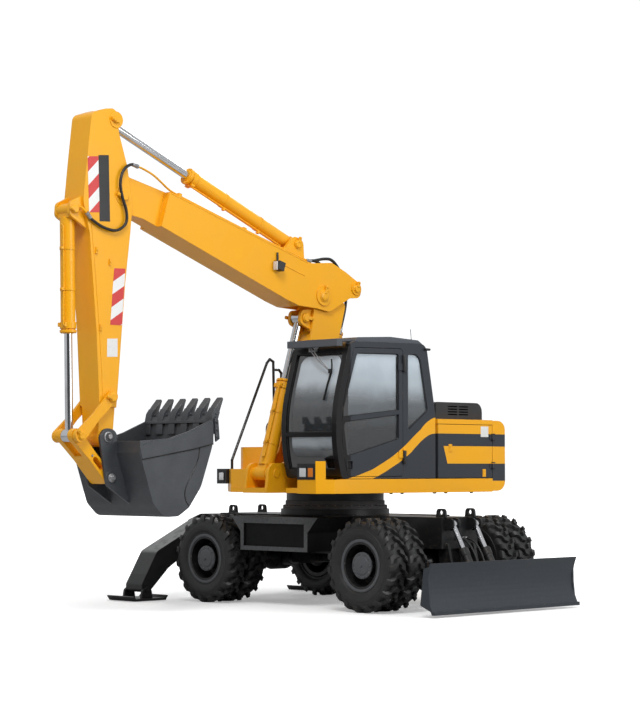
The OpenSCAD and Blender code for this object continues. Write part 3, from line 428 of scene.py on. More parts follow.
def lensFinish(name):
    finish = Finish(name, Coat_Weight=1.0, Coat_Roughness=0.02)
    at, ribs = finish.at, 420
    rib = ((at.part("Y") + at.part("X")) * ribs).op("SINE")
    return finish.feed(Base_Color=rib.ramp(-1, 1).mix(rgb(0.62, 0.64, 0.66), rgb(0.86, 0.87, 0.88)),
                       Roughness=rib * 0.02 + 0.1, Normal=at.bump(rib, 0.0015))


# each look with the slot that it goes into
looks = {
    "paint": ("machine_paint", plainPaint("machine yellow", yellow)),
    "livery": ("machine_paint", liveryPaint("side bands")),
    # the roof is painted a lighter slate than the cab, as a painted highlight on the roof
    "roof": ("grey_paint", plainPaint("roof slate painted lighter", rgb(0.085, 0.095, 0.11))),
    "deck": ("machine_paint", deckPaint("deck yellow")),
    "black": ("black_paint", plainPaint("chassis black", blackTone, 0.25, 0.7)),
    "gloss": ("black_paint", plainPaint("gloss black", rgb(0.008, 0.008, 0.009), 0.6, 0.1)),
    "rim": ("rim_paint", plainPaint("rim black", rgb(0.013, 0.0135, 0.015), 0.2, 0.5)),
    "hub": ("rim_paint", plainPaint("hub grey", rgb(0.085, 0.09, 0.098), 0.2, 0.5)),
    "bucket": ("grey_paint", steelFinish("bucket steel", rgb(0.058, 0.064, 0.073), 0.36)),
    "blade": ("grey_paint", plainPaint("blade slate", rgb(0.031, 0.038, 0.047), 0.2, 0.08)),
    "framed": ("black_paint", framedFinish("side box black")),
    "topped": ("black_paint", litTopFinish("leg black with painted lit tops")),
    "tooth": ("cast_grey", steelFinish("tooth steel", rgb(0.1, 0.1, 0.105), 0.36, 0.8, 0.25)),
    "cast": ("cast_grey", steelFinish("cast grey", rgb(0.1, 0.1, 0.105), 0.5, 0.3)),
    "zinc": ("cast_grey", steelFinish("plated steel", rgb(0.42, 0.42, 0.43), 0.3, 0.3, 0.7, 0.2)),
    "chrome": ("rod_chrome", chromeFinish("rod chrome")),
    "tyre": ("tyre", rubberFinish("tyre rubber", 0.013, 0.35)),
    "hose": ("tyre", rubberFinish("hose rubber", 0.01, 0.15)),
    "plastic": ("dark_plastic", plasticFinish("grained black")),
    "seal": ("dark_plastic", rubberFinish("window seal", 0.006, 0.05)),
    "glass": ("cab_glass", glassFinish("cab glass with painted reflection", 0.6)),
    "fabric": ("seat_fabric", fabricFinish("seat cloth", rgb(0.022, 0.023, 0.027))),
    "stripe": ("machine_paint", stripeFinish("hazard bands", 0.62, 0.27, 0)),
    "stripeHigh": ("machine_paint", stripeFinish("upper hazard bands", 1.0, 0.307, 0.163)),
    "label": ("machine_paint", labelFinish("blank label", rgb(0.78, 0.78, 0.76))),
    "lens": ("cab_glass", lensFinish("lamp lens")),
    "amber": ("cab_glass", labelFinish("amber lens", rgb(0.75, 0.2, 0.01))),
}
print("finishes made:", len(looks))

wearers = {
    "black": "chassis_frame front_axle_beam rear_axle_beam driveline knuckle_left "
             "knuckle_right blade_barrels",
    "cast": "slew_ring engine", "framed": "side_boxes", "blade": "blade",
    "gloss": "side_hinges handrail",
    "livery": "left_service_door counterweight engine_housing right_body cab_frame cab_door",
    "plastic": "engine_hood work_lamps boom_lamp controls", "roof": "cab_roof", "deck": "upper_frame",
    "glass": "cab_glass door_glass", "fabric": "operator_seat", "bucket": "bucket",
}


def dressNodes():
    lookOf = {name: kind for kind, names in wearers.items() for name in names.split()}
    for name, node in nodes.items():
        kind = lookOf.get(name, "paint")
        if name.endswith("_tyres"):
            kind = "tyre"
        elif name.endswith("_rims"):
            kind = "rim"
        elif name.startswith("stabilizer"):
            kind = "topped"
        if name.endswith(("_rod", "_rods")):
            kind = "chrome"
            node.data.shade_smooth()
            node.data.set_sharp_from_angle(angle=math.radians(40))
        node.data.materials.clear()
        node.data.materials.append(looks[kind][1])


dressNodes()
print("nodes dressed")


def smoothPath(points, fine, loop=False):
    spots = [Vector(p) for p in points]
    count, out = len(spots), []
    for i in range(count if loop else count - 1):
        a, b, c, d = (spots[(i + k) % count] if loop else spots[min(max(i + k, 0), count - 1)]
                      for k in (-1, 0, 1, 2))
        for step in range(fine):
            t = step / fine
            curve = 2 * b + (c - a) * t + (2 * a - 5 * b + 4 * c - d) * t * t
            out.append(0.5 * (curve + (3 * b - a - 3 * c + d) * t ** 3))
    return out if loop else out + [spots[-1]]


class Form:
    # a mesh in the making, in a frame of its own
    def __init__(self, frame=None):
        self.mesh, self.frame = bmesh.new(), frame or Matrix()

    def loft(self, rings, loop=False):
        rows = [[self.mesh.verts.new(self.frame @ Vector(p)) for p in ring] for ring in rings]
        for a, b in list(zip(rows, rows[1:])) + ([(rows[-1], rows[0])] if loop else []):
            for i in range(len(a)):
                k = (i + 1) % len(a)
                self.mesh.faces.new((a[i], a[k], b[k], b[i]))
        if not loop:
            self.mesh.faces.new(rows[0][::-1])
            self.mesh.faces.new(rows[-1])
        return self

    def prism(self, outline, low, high):
        return self.loft([[(x, y, z) for x, y in outline] for z in (low, high)])

    def block(self, low, high):
        (a, b, c), (d, e, f) = low, high
        return self.prism([(a, b), (d, b), (d, e), (a, e)], c, f)

    def tiers(self, place, rows):  # a stepped plate: height off a surface, half width, half height
        return self.loft([[place @ Vector((a * wide, b * tall, h)) for a, b in square]
                          for h, wide, tall in rows])

    def turn(self, profile, steps=36, place=None, loop=False):  # profile of radius and height
        place = place or Matrix()
        turns = [2 * math.pi * i / steps for i in range(steps)]
        rings = [[place @ Vector((r * math.cos(a), r * math.sin(a), h)) for a in turns] for r, h in profile]
        return self.loft(rings, loop)

    def bolt(self, at, way, size):
        place = facing(Vector(at), Vector(way))
        self.turn([(size * 1.2, -0.002), (size * 1.2, size * 0.16), (size * 1.1, size * 0.2)], 18, place)
        head = [(size * 0.95, size * 0.15), (size * 0.95, size * 0.62), (size * 0.78, size * 0.75)]
        return self.turn(head, 6, place)

    def pipe(self, points, radius, sides=10, fine=6, loop=False):
        path = smoothPath(points, fine, loop)
        side, rings = None, []
        turns = [2 * math.pi * k / sides for k in range(sides)]
        for i, at in enumerate(path):
            ahead = path[(i + 1) % len(path)] if loop or i < len(path) - 1 else at
            behind = path[i - 1] if loop or i else at
            way = (ahead - behind).normalized()
            side = way.orthogonal() if side is None else side
            side = (side - way * side.dot(way)).normalized()
            over = way.cross(side)
            rings.append([at + (side * math.cos(a) + over * math.sin(a)) * radius for a in turns])
        self.loft(rings, loop)
        return path

    def done(self, name, body, kind, bevel=0.0, crease=35):
        bmesh.ops.recalc_face_normals(self.mesh, faces=self.mesh.faces)
        data = bpy.data.meshes.new(name)
        self.mesh.to_mesh(data)
        self.mesh.free()
        slot, material = looks[kind]
        data.materials.append(material)
        data.shade_smooth()
        piece = bpy.data.objects.new(name, data)
        scene.collection.objects.link(piece)
        if bevel:
            edge = piece.modifiers.new("edge", "BEVEL")
            edge.width, edge.segments, edge.harden_normals = bevel, 2, True
            edge.limit_method, edge.angle_limit = "ANGLE", math.radians(crease)
        else:
            data.set_sharp_from_angle(angle=math.radians(crease))
        if body:
            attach(piece, body)
        return piece


def onto(node, at, way):  # where a line from a point meets a node, and the surface's direction there
    found, spot, normal, _ = nodes[node].ray_cast(at, way)
    if not found:
        print("nothing of", node, "at", [round(x, 3) for x in at])
        return at, -way
    return spot, normal


def lengthOf(path):
    return sum((b - a).length for a, b in zip(path, path[1:]))


def hose(name, points, radius, body, bodyEnd, ends, frame=None):
    # a free hose with its crimped ends, one fitting on each of two bodies
    tube = Form(frame)
    path = [tube.frame @ p for p in tube.pipe(points, radius, 12, 8)]
    piece = tube.done(name, None, "hose")
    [tube.frame @ Vector(end) for end in ends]
    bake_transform(piece)
    for i, (end, nextTo, owner) in enumerate(((path[0], path[2], body), (path[-1], path[-3], bodyEnd))):
        crimp = Form(facing(end, nextTo - end))
        sleeve = [(1.02, 0.06), (1.32, 0.055), (1.32, 0.012), (1.15, 0.008)]
        crimp.turn([(radius * share, h) for share, h in sleeve], 14)
        crimp.turn([(radius * 1.5, 0.008), (radius * 1.5, -0.024)], 6)
        crimp.done(f"{name}_fitting_{i}", owner, "zinc")
    lengthOf(path)


tyre = {
    "radius": 0.53, "offset": 0.1575, "lugs": 19, "lugWide": 0.062, "crown": 0.492,
    "side": [(0.2624, 0.0896), (0.286, 0.0896), (0.297, 0.108), (0.306, 0.1165), (0.318, 0.1175),
        (0.325, 0.124), (0.352, 0.1345), (0.385, 0.1392), (0.405, 0.1395), (0.409, 0.1365),
        (0.436, 0.1355), (0.462, 0.13), (0.48, 0.118), (0.488, 0.09), (0.491, 0.045)],
}


def lugRings(hand, start):
    # one bar of the tread, from the middle over the shoulder
    rings = []
    for t in (0, 0.2, 0.42, 0.5, 0.72, 0.86, 0.94, 1):
        lean = 0.11 * t + (0.075 if t > 0.45 else 0) + 0.06 * max(0, t - 0.5)
        drop = max(0, (t - 0.74) / 0.26) ** 1.7
        top, base = tyre["radius"] - 0.05 * drop, 0.484 - 0.034 * t ** 3
        wide = tyre["lugWide"] * (0.82 + 0.28 * t)
        half = [(0.66, base), (0.5, top - 0.011), (0.39, top)]
        section = [(-f, r) for f, r in half] + half[::-1]
        rings.append([(r * math.cos(a), hand * (0.006 + 0.1338 * t), r * math.sin(a)) for f, r in section
                      for a in [start + lean + f * wide / tyre["radius"]]])
    return rings


def tyrePair():
    pair = Form()
    side, step = tyre["side"], 2 * math.pi / tyre["lugs"]
    profile = [(r, -h) for r, h in side] + [(tyre["crown"], 0)] + side[::-1]
    for place in (-tyre["offset"], tyre["offset"]):
        pair.frame = Matrix.Translation((0, place, 0))
        pair.turn(profile, 96, Matrix.Rotation(-math.pi / 2, 4, "X"), loop=True)
        for i in range(tyre["lugs"]):
            for hand, shift in ((1, 0.0), (-1, 0.5)):
                pair.loft(lugRings(hand, (i + shift) * step))
    return pair


# profiles of radius and height, the cap's from the wheel's face
hub = {
    "face": 0.2405, "bolts": 10, "boltRing": 0.131,
    "cap": [(0.15, -0.012), (0.152, -0.008), (0.152, 0.004), (0.147, 0.008), (0.108, 0.009),
        (0.1, 0.016), (0.07, 0.019), (0.02, 0.02)],
    "ring": [(0.262, 0.25), (0.266, 0.2705), (0.286, 0.2755), (0.298, 0.2725), (0.3, 0.264),
        (0.27, 0.25)], "valve": [(0.258, 0.02, 0.262), (0.246, 0.02, 0.268), (0.236, 0.02, 0.27)],
}


def makeWheels():
    master = None
    for name in ("front_left", "front_right", "rear_left", "rear_right"):
        centre, hand, wheel = pinAt(name + "_spin"), 1 if name.endswith("left") else -1, name + "_wheel"
        if master is None:
            master = piece = tyrePair().done(name + "_tread", None, "tyre", crease=30)
        else:
            piece = bpy.data.objects.new(name + "_tread", master.data)
            scene.collection.objects.link(piece)
        turned = Matrix.Rotation(0 if hand > 0 else math.pi, 4, "Z")
        piece.matrix_world = Matrix.Translation(centre) @ turned
        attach(piece, wheel)
        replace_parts(piece, name + "_tyres")
        out = frameOf(centre, left * hand, upward, Vector((0, hand, 0)))
        cap, face = Form(out), hub["face"]
        cap.turn([(r, face + h) for r, h in hub["cap"]], 48)
        for i in range(hub["bolts"]):
            a, r = 2 * math.pi * i / hub["bolts"], hub["boltRing"]
            cap.bolt((r * math.cos(a), r * math.sin(a), face + 0.0075), upward, 0.011)
        cap.bolt((0, 0, face + 0.0195), upward, 0.017)
        cap.done(name + "_hub_cover", wheel, "hub")
        # the rim's lip ring is painted hub grey instead of rim black, as a painted highlight where the lip
        # catches light
        ring = Form(out)
        ring.turn(hub["ring"], 72, loop=True)
        ring.pipe(hub["valve"], 0.005, 8)
        ring.done(name + "_rim_ring_painted_light", wheel, "hub")


makeWheels()
print("wheels made")

# barrel length, barrel radius, rod radius and the side of the feed pipe
ram = {
    "lift": (1.130, 0.092, 0.052, -1), "knee": (0.960, 0.072, 0.042, 1),
    "dipper": (1.740, 0.086, 0.048, -1), "bucket": (1.310, 0.080, 0.044, 1),
}


def dressRams():
    # gland heads with their bolts, port blocks and the pipe that feeds the rod end
    turnX = Matrix.Rotation(math.pi / 2, 4, "Y")
    for name, (length, radius, rod, side) in ram.items():
        at = planeFrame(pinAt(name + "_pivot"), Vector(joints[name + "_slide"]["axis"]))
        head, feed, clip, barrel = Form(at), Form(at), Form(at), name + "_barrel"
        wide, out = radius * 1.16, radius + 0.021
        gland = [(rod + 0.002, -0.004), (wide, -0.004), (wide, 0.02), (wide - 0.005, 0.024),
                 (rod + 0.018, 0.024), (rod + 0.013, 0.034), (rod + 0.002, 0.034)]
        head.turn([(r, length + h) for r, h in gland], 40, turnX, loop=True)
        for i in range(8):
            a, r = 2 * math.pi * (i + 0.5) / 8, (rod + 0.02 + wide) / 2
            head.bolt((length + 0.024, r * math.cos(a), r * math.sin(a)), (1, 0, 0), 0.0085)
        head.done(name + "_gland_head", barrel, "paint")
        for z in (-0.045, 0.045):
            y = side * math.sqrt(max(out * out - z * z, 0.0004))
            if z > 0:
                route = [(length - 0.055, 0.8), (length - 0.06, 1.06), (length - 0.12, 1.1),
                         (length * 0.6, 1), (0.24, 1), (0.19, 1.05), (0.16, 1.3)]
                feed.pipe([(x, y * share, z) for x, share in route], 0.0105, 10, 5)
            low, high = sorted((y * 0.72, y * 1.02))
            feed.block((length - 0.085, low, z - 0.018), (length - 0.04, high, z + 0.018))
        feed.done(name + "_feed_pipe", barrel, "paint")
        for x in (0.32 * length, 0.66 * length):
            strap = [(0.001, -0.016), (0.005, -0.016), (0.005, 0.016), (0.001, 0.016)]
            clip.turn([(radius + r, x + h) for r, h in strap], 36, turnX, loop=True)
            foot, top = side * (radius + 0.012), side * (radius + 0.046)
            clip.block((x - 0.014, min(foot, top), 0.026), (x + 0.014, max(foot, top), 0.062))
            clip.bolt((x, top, 0.045), (0, side, 0), 0.008)
        clip.done(name + "_pipe_clips", barrel, "paint")


dressRams()
print("rams dressed")


def endFrame(x, y, z, hand):  # z out of a boom's side
    return frameOf(Vector((x, y, z)), Vector((1, 0, 0)), Vector((0, hand, 0)), Vector((0, 0, hand)))


def pinEnds(form, pins):
    # a pin's two ends, each with its keeper bar and bolt
    for hand in (-1, 1):
        for x, y, z, r in pins:
            place = endFrame(x, y, hand * z, hand)
            form.turn([(r * 1.22, -0.004), (r * 1.22, 0.008), (r * 1.12, 0.011), (r, 0.011), (r, 0.02),
                       (r * 0.9, 0.024), (r * 0.2, 0.024)], 32, place)
            bar = [(-0.02, r * 0.45), (0.02, r * 0.45), (0.02, r * 2.0), (0.012, r * 2.15),
                   (-0.012, r * 2.15), (-0.02, r * 2.0)]
            form.loft([[place @ Vector((a, b, h)) for a, b in bar] for h in (0.01, 0.03)])
            form.bolt(place @ Vector((0, r * 1.75, 0.0295)), (0, 0, hand), 0.013)


boomPipe = {
    "tip": [(3.16, 0.372, 0.207), (3.08, 0.377, 0.207), (2.93, 0.368, 0.207), (2.8, 0.338, 0.204),
        (2.66, 0.313, 0.18)],
    "run": [(2.52, 0.306, 0.165), (2.14, 0.304, 0.165), (1.43, 0.304, 0.165), (0.76, 0.312, 0.165),
        (0.34, 0.322, 0.165)], "elbows": [(2.57, 0.285, 0.165), (0.3, 0.285, 0.165)],
    "clamps": [(2.47, 0.29), (1.43, 0.283), (0.76, 0.291)], "gap": 0.037, "radius": 0.0125,
}
tipHose = {
    "points": [(0.29, 0.498, 0.196), (0.345, 0.425, 0.198), (0.4, 0.27, 0.2), (0.405, 0.095, 0.204),
        (0.31, -0.026, 0.207), (0.17, -0.022, 0.21), (0.02, 0.052, 0.212), (-0.13, 0.088, 0.21),
        (-0.27, 0.055, 0.208), (-0.352, -0.04, 0.207), (-0.351, -0.124, 0.207)],
    "bend": [(0.36, 0.2, 0), (-0.33, -0.1, 0)], "radius": 0.0165,
}
kneeHose = {
    "points": [(0.35, 0.322, 0.165), (0.24, 0.368, 0.163), (0.08, 0.45, 0.15), (-0.06, 0.488, 0.13),
        (-0.2, 0.447, 0.115), (-0.31, 0.362, 0.112), (-0.4, 0.242, 0.112), (-0.45, 0.118, 0.112),
        (-0.466, 0.01, 0.112), (-0.469, -0.12, 0.112), (-0.463, -0.3, 0.112)],
    "bend": [(-0.28, 0.39, 0), (-0.46, 0, 0)], "radius": 0.019,
}
boom = {
    "side": 0.19, "weld": [(0.36, 0.29), (1.4, 0.283), (2.6, 0.276)],
    "pins": [(0, 0, 0.205, 0.06), (-0.502, 0.276, 0.205, 0.042), (0.546, 0.462, 0.15, 0.042)],
    "lowerPins": [(1.529, -0.184, 0.119, 0.048), (0.495, 0.33, 0.135, 0.038)],
}


def dressBoom():
    pipes, clamps, ends, weld = (Form(boomFrame) for _ in range(4))
    first, last = ([spot] for spot in boomPipe["elbows"])
    pinEnds(ends, boom["pins"])
    for hand in (-1, 1):
        # the outer pipe goes on past the dipper's side, the inner one turns into the boom
        for start, end, inner in ((boomPipe["tip"], [], 0), (first, last, boomPipe["gap"])):
            route = [(x, y, hand * (z - inner)) for x, y, z in start + boomPipe["run"] + end]
            pipes.pipe(route, boomPipe["radius"], 10, 5)
        for x, y in boomPipe["clamps"]:
            low, high = sorted((hand * 0.102, hand * 0.189))
            clamps.block((x - 0.022, y - 0.025, low), (x + 0.022, y + 0.042, high))
            clamps.bolt((x, y + 0.042, hand * 0.146), (0, 1, 0), 0.009)
        face = hand * boom["side"]
        ends.block((0.36, 0.12, face - 0.006), (0.9, 0.128, face + 0.006))
        weld.pipe([(x, y, face) for x, y in boom["weld"]], 0.004, 6, 4)
    pipes.done("boom_hard_pipes", "upper_boom", "paint")
    clamps.done("boom_pipe_clamps", "upper_boom", "paint", 0.003)
    for hand, side in ((1, "left"), (-1, "right")):
        tip, knee = ([(x, y, z * hand) for x, y, z in run["points"]] for run in (tipHose, kneeHose))
        hose(f"tip_hose_{side}", tip, tipHose["radius"], "dipper", "upper_boom", tipHose["bend"],
             dipperFrame)
        hose(f"knee_hose_{side}", knee, kneeHose["radius"], "upper_boom", "lower_boom", kneeHose["bend"],
             boomFrame)
    ends.done("boom_pin_ends", "upper_boom", "paint", 0.0015)
    weld.done("boom_weld_lines", "upper_boom", "paint")
    lower = Form(lowerFrame)
    pinEnds(lower, boom["lowerPins"])
    lower.done("lower_boom_pin_ends", "lower_boom", "paint", 0.0015)


# blank plates on the side as outline, look, thickness and edge
plates = {
    "first_plate": ([(-0.343, 0.535), (-0.372, 0.388), (0.238, 0.318), (0.262, 0.462)], "stripeHigh",
        0.0025, 0.0008),
    "second_plate": ([(0.817, 0.064), (0.8, -0.092), (1.428, -0.098), (1.444, 0.066)], "stripe", 0.0025,
        0.0008),
    "name_plate": ([(-0.385, 0.386), (-0.41, 0.245), (0.315, 0.165), (0.335, 0.31)], "gloss", 0.0025,
        0.0008),
    "dipper_label": ([(1.6, 0.095), (1.582, -0.05), (1.78, -0.064), (1.798, 0.081)], "label", 0.0015,
        0.0005),
}
dipper = {
    "side": 0.1702, "weld": [(0.3, 0.452), (0.5, 0.395), (1.5, 0.215), (2.3, 0.09)],
    "clips": [(0.66, 0.33), (0.76, 0.13), (1.49, 0.2)],
    "pins": [(0, 0, 0.182, 0.052), (0.25, 0.632, 0.143, 0.04), (-0.819, 0.175, 0.178, 0.036),
        (2.236, 0, 0.22, 0.044)],
    "stub": [(0.292, 0.495, 0.196), (0.262, 0.53, 0.19), (0.225, 0.56, 0.165), (0.22, 0.585, 0.14)],
}


def dressDipper():
    z = dipper["side"]
    for name, (outline, kind, thick, edge) in plates.items():
        Form(dipperFrame).prism(outline, z, z + thick).done(name, "dipper", kind, edge)
    ends, weld = Form(dipperFrame), Form(dipperFrame)
    pinEnds(ends, dipper["pins"])
    link = Form(planeFrame(leverEnd, bucketFrame @ Vector(bucket["linkPin"]) - leverEnd))
    lever = Form(planeFrame(leverPin, leverEnd - leverPin))
    pinEnds(lever, [(0.598, 0, 0.213, 0.04)])
    for hand in (-1, 1):
        for x, y in dipper["clips"]:
            low, high = hand * 0.17 - 0.01, hand * 0.17 + 0.018
            ends.block((x - 0.035, y - 0.012, low), (x + 0.035, y + 0.012, high))
            ends.bolt((x, y, hand * 0.188), (0, 0, hand), 0.009)
        ends.pipe([(x, y, hand * z) for x, y, z in dipper["stub"]], boomPipe["radius"], 10, 5)
        weld.pipe([(x, y, hand * (z + 0.0003)) for x, y in dipper["weld"]], 0.004, 6, 5)
        link.bolt((0.3, 0, hand * 0.14), (0, 0, hand), 0.012)
    ends.done("dipper_pin_ends", "dipper", "paint", 0.0015)
    weld.done("dipper_weld_lines", "dipper", "paint")
    lever.done("lever_pin_ends", "bucket_lever", "paint", 0.0015)
    link.done("link_grease_bolts", "bucket_link", "zinc")


bucket = {
    "half": 0.576, "teeth": 6, "pitch": 0.2104, "linkPin": (-0.089, 0.439, 0),
    "pointMiddle": (1.33, 0.05),
    "band": [(0.075, 0.135), (0.3, 0.145), (0.508, 0.19), (0.803, 0.2), (1.16, 0.176), (1.172, 0.2),
        (1.1, 0.425), (0.8, 0.392), (0.489, 0.342), (0.068, 0.275)],
    "wear": [(0.895, 0.41), (0.85, 0.5), (0.76, 0.6), (0.633, 0.701), (0.545, 0.8), (0.524, 0.896),
        (0.55, 0.972)],
    "point": [(1.25, 0.066), (1.292, 0.036), (1.396, -0.022), (1.404, -0.002), (1.334, 0.084),
        (1.296, 0.13)],
    "adapter": [(1.1, 0.31), (1.165, 0.155), (1.203, 0.094), (1.262, 0.052), (1.305, 0.122),
        (1.25, 0.195), (1.205, 0.248), (1.15, 0.33)],
    "cutter": [(1.228, 0.15), (1.236, 0.2), (1.19, 0.4), (1.13, 0.415), (1.155, 0.3), (1.19, 0.165)],
    "cutterBolts": [(1.205, 0.205), (1.185, 0.29), (1.165, 0.37)],
}


def dressBucket():
    points, adapters, trim, weld, ends = (Form(bucketFrame) for _ in range(5))
    mx, my = bucket["pointMiddle"]
    for i in range(bucket["teeth"]):
        z = (i - (bucket["teeth"] - 1) / 2) * bucket["pitch"]
        points.loft([[(mx + (x - mx) * s, my + (y - my) * s, z + h) for x, y in bucket["point"]] for s, h in
                     ((0.86, -0.05), (1.03, -0.043), (1.03, 0.043), (0.86, 0.05))])
        adapters.prism(bucket["adapter"], z - 0.052, z + 0.052)
        for hand in (-1, 1):
            adapters.bolt((1.245, 0.12, z + hand * 0.052), (0, 0, hand), 0.013)
    for hand in (-1, 1):
        face = hand * bucket["half"]
        trim.prism(bucket["band"], *sorted((face - hand * 0.002, face + hand * 0.009)))
        trim.prism(bucket["cutter"], *sorted((face + hand * 0.002, face + hand * 0.026)))
        for x, y in bucket["cutterBolts"]:
            trim.bolt((x, y, face + hand * 0.026), (0, 0, hand), 0.017)
        weld.pipe([(x, y, face + hand * 0.001) for x, y in bucket["wear"]], 0.006, 8, 6)
        weld.pipe([(x, y + 0.006, face + hand * 0.004) for x, y in bucket["band"][6:]], 0.006, 8, 4)
        for (x, y, _), r in (((0, 0, 0), 0.045), (bucket["linkPin"], 0.038)):
            washer = [(r * 1.3, 0), (r * 1.3, 0.012), (r * 1.15, 0.016), (r * 0.3, 0.016)]
            ends.turn(washer, 32, endFrame(x, y, hand * 0.178, hand))
            ends.bolt((x + 0.01, y, hand * 0.193), (0, 0, hand), r * 0.75)
    points.done("tooth_points", "bucket", "tooth", 0.003)
    adapters.done("tooth_adapters", "bucket", "bucket", 0.005)
    trim.done("bucket_side_plates", "bucket", "bucket", 0.003)
    weld.done("bucket_weld_lines", "bucket", "gloss")
    ends.done("bucket_pin_bolts", "bucket", "zinc")


dressBoom()
dressDipper()
dressBucket()
print("boom, dipper and bucket dressed")


def rimLoops(node, way, gap=0.014):
    # the outlines of a node's faces that look one way, with close points left out
    mesh = nodes[node].data
    count, nextTo, loops = {}, {}, []
    for face in mesh.polygons:
        if face.normal.dot(way) > 0.6:
            ring = [tuple(round(c, 4) for c in mesh.vertices[i].co) for i in face.vertices]
            for a, b in zip(ring, ring[1:] + ring[:1]):
                count[min(a, b), max(a, b)] = count.get((min(a, b), max(a, b)), 0) + 1
    for a, b in (pair for pair, uses in count.items() if uses == 1):
        nextTo.setdefault(a, []).append(b)
        nextTo.setdefault(b, []).append(a)
    while nextTo:
        at, loop = next(iter(nextTo)), []
        while at in nextTo:
            if not loop or (Vector(at) - loop[-1]).length > gap:
                loop.append(Vector(at))
            at = next((p for p in nextTo.pop(at) if p in nextTo), None)
        if len(loop) > 3:
            loops.append(loop)
    return loops


# forward, left and up of the slew axis; the wiper's spots are left and up
cab = {
    "seal": 0.0085, "screenSeal": 0.012, "hingeU": 0.1, "hingeV": 1.248,
    "panes": [(1.62, 1.98), (2.04, 2.93)], "hinges": [(1.668, 1.83), (2.755, 2.95)],
    "slider": [((0.172, 1.199, 2.3), (0.2, 1.2095, 2.93)), ((0.176, 1.205, 2.42), (0.196, 1.218, 2.5))],
    "handle": (1.0, 1.655), "handleRim": 1.231, "wiperPivot": (0.68, 3.0), "wiperElbow": (1.02, 2.735),
    "wiperTip": (0.985, 2.4), "antenna": (-0.2, 1.08, 0.15), "marker": (-0.3, 3.03),
}


def screenPoint(v, z, off=0.03):
    node = "cab_glass" if any(low < z < high for low, high in cab["panes"]) else "cab_frame"
    return onto(node, up(2.5, v, z), -forward)[0] + forward * off


def dressCab():
    seals, doorSeals, strip, grip = Form(), Form(), Form(upperFrame), Form(upperFrame)
    for way in (left, -left, -forward, forward):
        for loop in rimLoops("cab_glass", way):
            seals.pipe(loop, cab["screenSeal" if way == forward else "seal"], 8, 1, loop=True)
    for loop in rimLoops("door_glass", left):
        doorSeals.pipe(loop, cab["seal"], 8, 1, loop=True)
    seals.done("cab_window_seals", "upper", "seal")
    doorSeals.done("door_window_seal", "cab_door", "seal")
    for low, high in cab["slider"]:
        strip.block(low, high)
    strip.done("door_slider_strip", "cab_door", "seal", 0.002)
    pivot = Matrix.Translation((cab["hingeU"], cab["hingeV"], 0))
    for i, (low, high) in enumerate(cab["hinges"]):
        half = [(0.008, 0), (0.02, 0.004), (0.0225, 0.012)]
        cover = [(r, low + h) for r, h in half] + [(r, high - h) for r, h in half[::-1]]
        Form(upperFrame).turn(cover, 24, pivot).done(f"door_hinge_cover_{i}", "cab_door", "plastic")
    u, z = cab["handle"]
    back = onto("cab_door", up(u, 1.6, z), -left)[0].x - slewAt.x
    grip.loft([[(u + a * 0.033, v, z + b * 0.034) for a, b in square] for v in (back - 0.002, back + 0.004)])
    for shift in (u - 0.018, u + 0.018):
        grip.block((shift - 0.009, back + 0.002, z - 0.03), (shift + 0.009, back + 0.016, z + 0.03))
    rim = [(u + a * 0.041, cab["handleRim"], z + b * 0.046) for a, b in
           ((-1, -1), (0, -1), (1, -1), (1, 0), (1, 1), (0, 1), (-1, 1), (-1, 0))]
    grip.pipe(rim, 0.005, 8, 2, loop=True)
    grip.done("door_handle", "cab_door", "plastic", 0.002)


def makeWiper():
    pivot, elbow = screenPoint(*cab["wiperPivot"]), screenPoint(*cab["wiperElbow"])
    arm, blade = Form(), Form()
    arm.block(pivot - Vector((0.05, 0.02, 0.03)), pivot + Vector((0.05, 0.045, 0.03)))
    for shift in (-0.022, 0.022):
        low = pivot + left * shift
        middle = (low + elbow) / 2 + forward * 0.045 + left * shift * 0.4
        end = elbow + left * shift * 0.3 + forward * 0.012
        arm.pipe([low, low + forward * 0.03, middle, end], 0.0065, 8)
    arm.bolt(pivot + forward * 0.02, forward, 0.012)
    halfway = [(a + b) / 2 for a, b in zip(cab["wiperElbow"], cab["wiperTip"])]
    rubber = [screenPoint(*spot, off=0.012) for spot in (cab["wiperElbow"], halfway, cab["wiperTip"])]
    blade.pipe([rubber[0] + upward * 0.14] + rubber, 0.009, 8)
    blade.pipe([p + forward * 0.013 for p in rubber], 0.006, 8)
    blade.block(elbow - Vector((0.016, 0.02, 0.025)), elbow + Vector((0.016, 0.012, 0.025)))
    arm.done("wiper_arms", "upper", "zinc", 0.002)
    blade.done("wiper_blade", "upper", "seal")


def dressRoof():
    u, v, tall = cab["antenna"]
    foot = onto("cab_roof", up(u, v, 4), -upward)[0]
    mast = Form()
    socket = [(0.02, -0.006), (0.02, 0.006), (0.012, 0.016), (0.007, 0.03), (0.004, 0.034)]
    mast.turn(socket, 20, Matrix.Translation(foot))
    mast.pipe([foot + upward * 0.03, foot + upward * tall * 0.6 + forward * 0.006,
               foot + upward * tall + forward * 0.014], 0.0035, 8, 4)
    mast.done("roof_antenna", "upper", "plastic")
    u, z = cab["marker"]
    face = onto("cab_frame", up(u, 2, z), -left)[0]
    rows = [(h, 0.04, tall) for h, tall in ((-0.004, 0.012), (0.012, 0.015), (0.03, 0.012), (0.036, 0.008))]
    Form().tiers(facing(face, left), rows).done("cab_side_marker", "upper", "plastic", 0.003)


# middle of each lens, its half width and half height, and how a lens bulges
lamps = {
    "right": ((0.846, -1.125, 1.52), 0.047, 0.052), "left": ((1.424, 0.895, 1.571), 0.059, 0.056),
    "amber": ((1.424, 1.022, 1.571), 0.046, 0.056),
}
bulge = [(-0.004, 0.94), (0.004, 0.94), (0.009, 0.8), (0.011, 0.5)]
boomBulge = [(-0.004, 0.82), (0.003, 0.82), (0.007, 0.66), (0.009, 0.4)]


